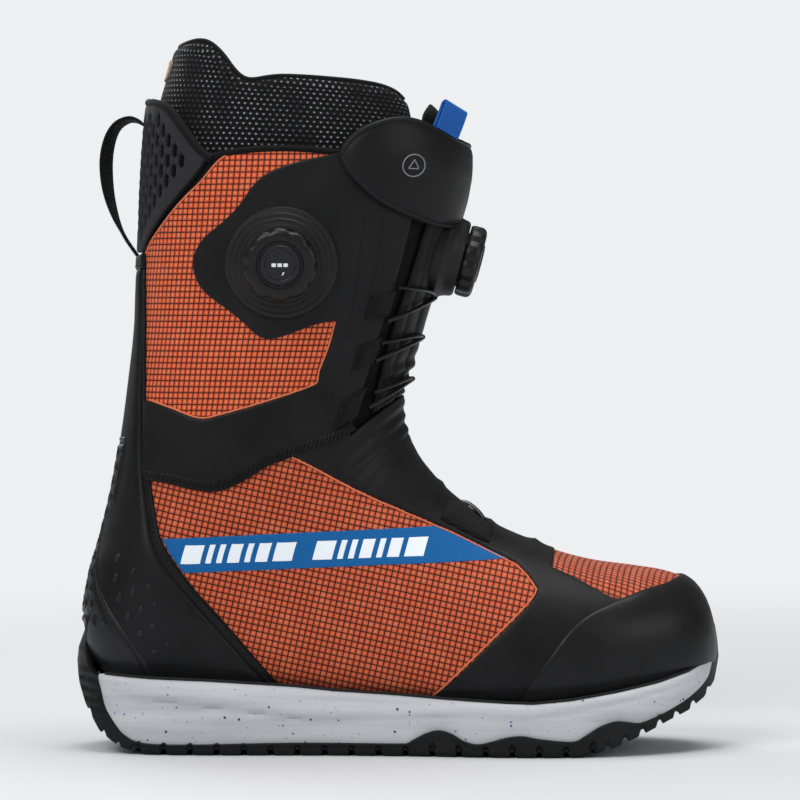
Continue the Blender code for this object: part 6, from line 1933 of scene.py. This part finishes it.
def lathe(name, profile, frame, mat, steps=96, shape=None):
    """A turned closed piece from (radius, height) points about the frame's outward axis."""
    points = []
    for k in range(steps):
        a = 2 * math.pi * k / steps
        for r, z in profile:
            scale = shape(a, r) if shape else 1.0
            points.append((r * scale * math.cos(a), r * scale * math.sin(a), z))
    obj = mesh_object(name, to_world(points, frame), grid_faces(steps, len(profile), closed=True),
                      mat, sharp=32)
    oriented(obj, weld=True)
    obj.data.set_sharp_from_angle(angle=math.radians(32))
    return obj


def knurl(a, r):
    """Ten shallow scallops, with fine ribs between them."""
    if r < 14.6:
        return 1.0
    lobe = 0.5 + 0.5 * math.cos(10 * a)
    return 1.0 - 0.050 * lobe**2.2 - 0.006 * (0.5 + 0.5 * math.cos(80 * a))


# Profiles: radius, height.
HOUSING_TOP = [(0, 1.4), (15.5, 1.4), (15.7, 3.7), (16.4, 4.0)]
SIDE_HOUSING = HOUSING_TOP + [
    (18.0, 3.7), (18.5, 2.9), (18.7, 1.9), (19.3, 1.7), (20.3, 1.75), (20.9, 1.2), (21.1, 0.5),
    (21.8, 0.3), (22.8, 0.3), (23.4, -0.3), (23.7, -1.1), (24.5, -1.35), (25.4, -1.5),
    (26.0, -2.2), (26.3, -3.2), (26.6, -9.5), (0, -9.5)]
FRONT_HOUSING = HOUSING_TOP + [
    (17.6, 3.6), (18.2, 2.6), (18.5, 1.0), (19.0, -0.8), (19.8, -2.2), (21.2, -3.6),
    (22.6, -5.0), (22.9, -10.5), (0, -10.5)]
KNOB = [(0, 12.3), (9.4, 12.3), (9.8, 11.7), (10.6, 11.7), (11.1, 12.2), (13.6, 12.5),
        (15.4, 12.1), (16.5, 11.2), (17.0, 9.9), (17.0, 6.2), (16.7, 5.1), (16.2, 4.5),
        (15.2, 4.5), (14.9, 5.2), (14.9, 8.6), (14.2, 9.7), (0, 9.7)]
KNOB_CAP = [(0, 13.3), (6.6, 13.3), (7.0, 12.95), (7.4, 13.2), (8.7, 13.1), (9.2, 12.6),
            (9.2, 12.35), (0, 12.35)]
# Three short bars and a tick on the cap: x0, y0, x1, y1, lean.
TICKS = ((-3.7, -0.8, -1.7, 0.8, 0.0), (-1.0, -0.8, 1.0, 0.8, 0.0), (1.7, -0.8, 3.7, 0.8, 0.0),
         (0.9, -4.6, 1.5, -3.2, 0.7))
BOX_FACES = [(3, 2, 1, 0), (4, 5, 6, 7), (0, 1, 5, 4), (1, 2, 6, 5), (2, 3, 7, 6), (3, 0, 4, 7)]


def dial(prefix, frame, body, housing):
    """A housing on the body, and a knob with its cap and print that turn together."""
    knob = f"{prefix}_knob"
    fit(lathe(f"{prefix}_dial_housing", housing, frame, MATS["dial_rim"], 120),
        "dial_plastic", f"{prefix}_dial_base", rides=body)
    fit(lathe(f"{prefix}_dial_knob", KNOB, frame, MATS["dial"], 240, knurl),
        "dial_plastic", knob, rides=knob)
    fit(lathe(f"{prefix}_dial_cap", KNOB_CAP, frame, MATS["dial_in"]),
        "dial_inner", f"{prefix}_knob_cap", rides=knob)
    bars = []
    for x0, y0, x1, y1, lean in TICKS:
        corners = [(x0, y0), (x1, y0), (x1 + lean, y1), (x0 + lean, y1)]
        box = [(x, y, z) for z in (13.28, 13.42) for x, y in corners]
        bars.append((to_world(box, frame), BOX_FACES))
    fit(mesh_object(f"{prefix}_dial_tick", *merge(bars), MATS["tick"]), "dial_inner", rides=knob)


spot = one_point(bare_skin, *DIAL_UV)
out = unit(one_point(bare_skin, *DIAL_UV, 1.0) - spot)
dial("side", dial_frame(spot + out * 4.7, out), "cuff", SIDE_HOUSING)
FRONT_DIAL_TILT = math.radians(15)
spot = one_point(bare_skin, front_u(235.0), 0.0)
out = np.array([math.cos(FRONT_DIAL_TILT), 0, -math.sin(FRONT_DIAL_TILT)])
dial("front", dial_frame(spot + out * 5.6, out), "tongue", FRONT_HOUSING)

# ------------------------------------------------------------- the webbing tab
TAB_LENGTH, TAB_GAP, TAB_THICK, FOLD_RADIUS = 13.0, 1.15, 0.62, 1.5
tab_uv = uv(19.0, 291.0)
tab_foot = one_point(bare_skin, *tab_uv, 3.4)
tab_out = unit(tab_foot - one_point(bare_skin, *tab_uv, 2.4))
tab_along = tab_foot - one_point(bare_skin, *uv(12.5, 294.5), 3.4)
tab_along -= tab_out * tab_along.dot(tab_out)
tab_along = unit(tab_along)
tab_up = np.cross(tab_along, tab_out)
if tab_up[2] < 0:
    tab_along, tab_up = -tab_along, -tab_up
TAB_LEAN = 0.30 * (1.0 if tab_along[0] > 0 else -1.0)


def tab_point(along, up, out):
    return tab_foot + tab_along * along + tab_up * up + tab_out * out


# The folded centre line: (height, distance from the middle), up one side and down the other.
line = [(-1.0, -TAB_GAP)] + [(r, -TAB_GAP) for r in np.linspace(0, TAB_LENGTH, 12)]
line += [(TAB_LENGTH + FOLD_RADIUS * math.sin(t), -TAB_GAP * math.cos(t))
         for t in np.linspace(0, math.pi, 9)[1:-1]]
line += [(r, TAB_GAP) for r in np.linspace(TAB_LENGTH, 0, 12)] + [(-1.0, TAB_GAP)]
line = np.array(line)
heading = unit(np.gradient(line, axis=0))
line_side = np.stack([-heading[:, 1], heading[:, 0]], 1) * TAB_THICK
ys = np.linspace(-8.0, 8.0, 13)
points, cloth = [], []
for place, thick, so_far in zip(line, line_side, run_length(line)):
    for (r, h), y in [(place + thick, y) for y in ys] + [(place - thick, y) for y in ys[::-1]]:
        sway = 0.5 * math.sin(r / 4.0)
        points.append(tab_point(y + 0.25 * sway + TAB_LEAN * max(r, 0.0), r, h + sway * 0.5))
        cloth.append((so_far, y))
shape = (len(line), 2 * len(ys))
tab = mesh_object("webbing_tab", points, grid_faces(*shape, loop=True) + end_caps(*shape),
                  MATS["blue_web"], cloth, sharp=60)
fit(oriented(tab), "blue_webbing", "pull_tab", rides="pull_tab")
STITCH_UP = 2.6
stitch_rows = [np.array([tab_point(y + TAB_LEAN * STITCH_UP, STITCH_UP, h)
                         for y in np.linspace(-7.0, 7.0, 9)]) for h in (1.85, -1.85)]
fit(stitches("tab_stitching", stitch_rows, MATS["blue_thread"], pitch=1.6, length=1.1,
             radius=0.2), "blue_webbing", rides="pull_tab")

# ------------------------------------------- inner pieces keep their CAD shapes
INNER_FINISHES = {
    "sole_shank": "shank", "lasting_board": "board", "heel_stiffener": "shank",
    "footbed": "foam_bed", "side_spool": "dial_in", "front_spool": "dial_in",
    "side_drive_gear": "dial_in", "front_drive_gear": "dial_in",
    "side_dial_screw": "steel", "front_dial_screw": "steel"}
for obj in bpy.data.objects:
    if obj.type == "MESH" and obj.name in INNER_FINISHES:
        obj.data.materials.clear()
        obj.data.materials.append(MATS[INNER_FINISHES[obj.name]])

# -------------------------------------------------- floor and light, in metres
BACK = (0.86, 0.865, 0.875, 1.0)
FLOOR_RADIUS, FLOOR_Z = 6.0, -0.0004
FADE_START, FADE_END = 0.30, 1.30  # where the floor fades into the background


def floor_material():
    """A pale floor that fades into the background and is clear from below."""
    mat = plain("pale_floor", (200, 201, 203), rough=0.85, scale=300.0, spec=0.2, bump=0.01,
                vary=1)
    nodes, links = mat.node_tree.nodes, mat.node_tree.links
    place = nodes.new("ShaderNodeNewGeometry")
    distance = nodes.new("ShaderNodeVectorMath")
    distance.operation = "LENGTH"
    links.new(place.outputs["Position"], distance.inputs[0])
    fade = nodes.new("ShaderNodeMapRange")
    fade.interpolation_type = "SMOOTHSTEP"
    fade.inputs[1].default_value, fade.inputs[2].default_value = FADE_START, FADE_END
    links.new(distance.outputs["Value"], fade.inputs[0])
    glow = nodes.new("ShaderNodeEmission")
    glow.inputs[0].default_value = BACK
    faded = nodes.new("ShaderNodeMixShader")
    links.new(fade.outputs[0], faded.inputs[0])
    links.new(nodes["Principled BSDF"].outputs[0], faded.inputs[1])
    links.new(glow.outputs[0], faded.inputs[2])
    clear, seen = nodes.new("ShaderNodeBsdfTransparent"), nodes.new("ShaderNodeMixShader")
    links.new(place.outputs["Backfacing"], seen.inputs[0])
    links.new(faded.outputs[0], seen.inputs[1])
    links.new(clear.outputs[0], seen.inputs[2])
    links.new(seen.outputs[0], nodes["Material Output"].inputs["Surface"])
    return mat


floor_mat = floor_material()
floor_mesh = bpy.data.meshes.new("floor")
floor_mesh.from_pydata([(FLOOR_RADIUS * math.cos(2 * math.pi * k / 96),
                         FLOOR_RADIUS * math.sin(2 * math.pi * k / 96), FLOOR_Z)
                        for k in range(96)], [], [tuple(range(96))])
floor_mesh.materials.append(floor_mat)
floor = bpy.data.objects.new("floor", floor_mesh)
bpy.context.scene.collection.objects.link(floor)


def studio_world():
    """One background for the camera, a dim one for reflections, a cool one for light."""
    world = bpy.data.worlds.new("studio")
    bpy.context.scene.world = world
    world.use_nodes = True
    nodes, links = world.node_tree.nodes, world.node_tree.links
    rays = nodes.new("ShaderNodeLightPath")
    shown = nodes["Background"]
    lit, gloss = nodes.new("ShaderNodeBackground"), nodes.new("ShaderNodeBackground")
    shown.inputs["Color"].default_value = BACK
    lit.inputs["Color"].default_value = (0.93, 0.95, 1.0, 1.0)
    lit.inputs["Strength"].default_value = 0.40
    gloss.inputs["Color"].default_value = (1.0, 1.0, 1.0, 1.0)
    gloss.inputs["Strength"].default_value = 0.16
    first, second = nodes.new("ShaderNodeMixShader"), nodes.new("ShaderNodeMixShader")
    for mix, ray, plain_shader, ray_shader in ((first, "Is Glossy Ray", lit, gloss),
                                               (second, "Is Camera Ray", first, shown)):
        links.new(rays.outputs[ray], mix.inputs[0])
        links.new(plain_shader.outputs[0], mix.inputs[1])
        links.new(ray_shader.outputs[0], mix.inputs[2])
    links.new(second.outputs[0], nodes["World Output"].inputs["Surface"])


studio_world()


def aimed(name, data, place, aim):
    """Puts a light or camera in the scene, looking from place to aim."""
    obj = bpy.data.objects.new(name, data)
    obj.location = place
    obj.rotation_euler = (Vector(aim) - Vector(place)).to_track_quat("-Z", "Y").to_euler()
    bpy.context.scene.collection.objects.link(obj)
    return obj


def softbox(name, place, aim, size, power):
    lamp = bpy.data.lights.new(name, "AREA")
    lamp.shape = "RECTANGLE"
    lamp.size, lamp.size_y = size
    lamp.energy = power
    aimed(name, lamp, place, aim)


softbox("key", place=(-0.75, -1.25, 1.35), aim=(0.0, 0.0, 0.15), size=(0.8, 0.8), power=18.0)
softbox("fill", place=(1.35, -1.0, 0.75), aim=(0.0, 0.0, 0.12), size=(0.9, 0.7), power=6.0)
softbox("top", place=(0.1, 0.05, 1.7), aim=(0.0, 0.0, 0.15), size=(1.2, 1.0), power=20.0)
softbox("back", place=(-0.9, 1.45, 0.9), aim=(0.0, 0.0, 0.15), size=(1.2, 0.7), power=10.0)

CAMERA_AIM = Vector((0.0005, 0.0, 0.1635))
CAMERA_DISTANCE, CAMERA_TILT = 2.10, math.radians(1.2)
lens = bpy.data.cameras.new("camera")
lens.lens = 200.0
lens.sensor_width = 36.0
lens.clip_start, lens.clip_end = 0.02, 60.0
back_off = Vector((0.0, -CAMERA_DISTANCE * math.cos(CAMERA_TILT),
                   CAMERA_DISTANCE * math.sin(CAMERA_TILT)))
bpy.context.scene.camera = aimed("camera", lens, CAMERA_AIM + back_off, CAMERA_AIM)
bpy.context.scene.view_settings.view_transform = "Standard"

bpy.context.view_layer.update()
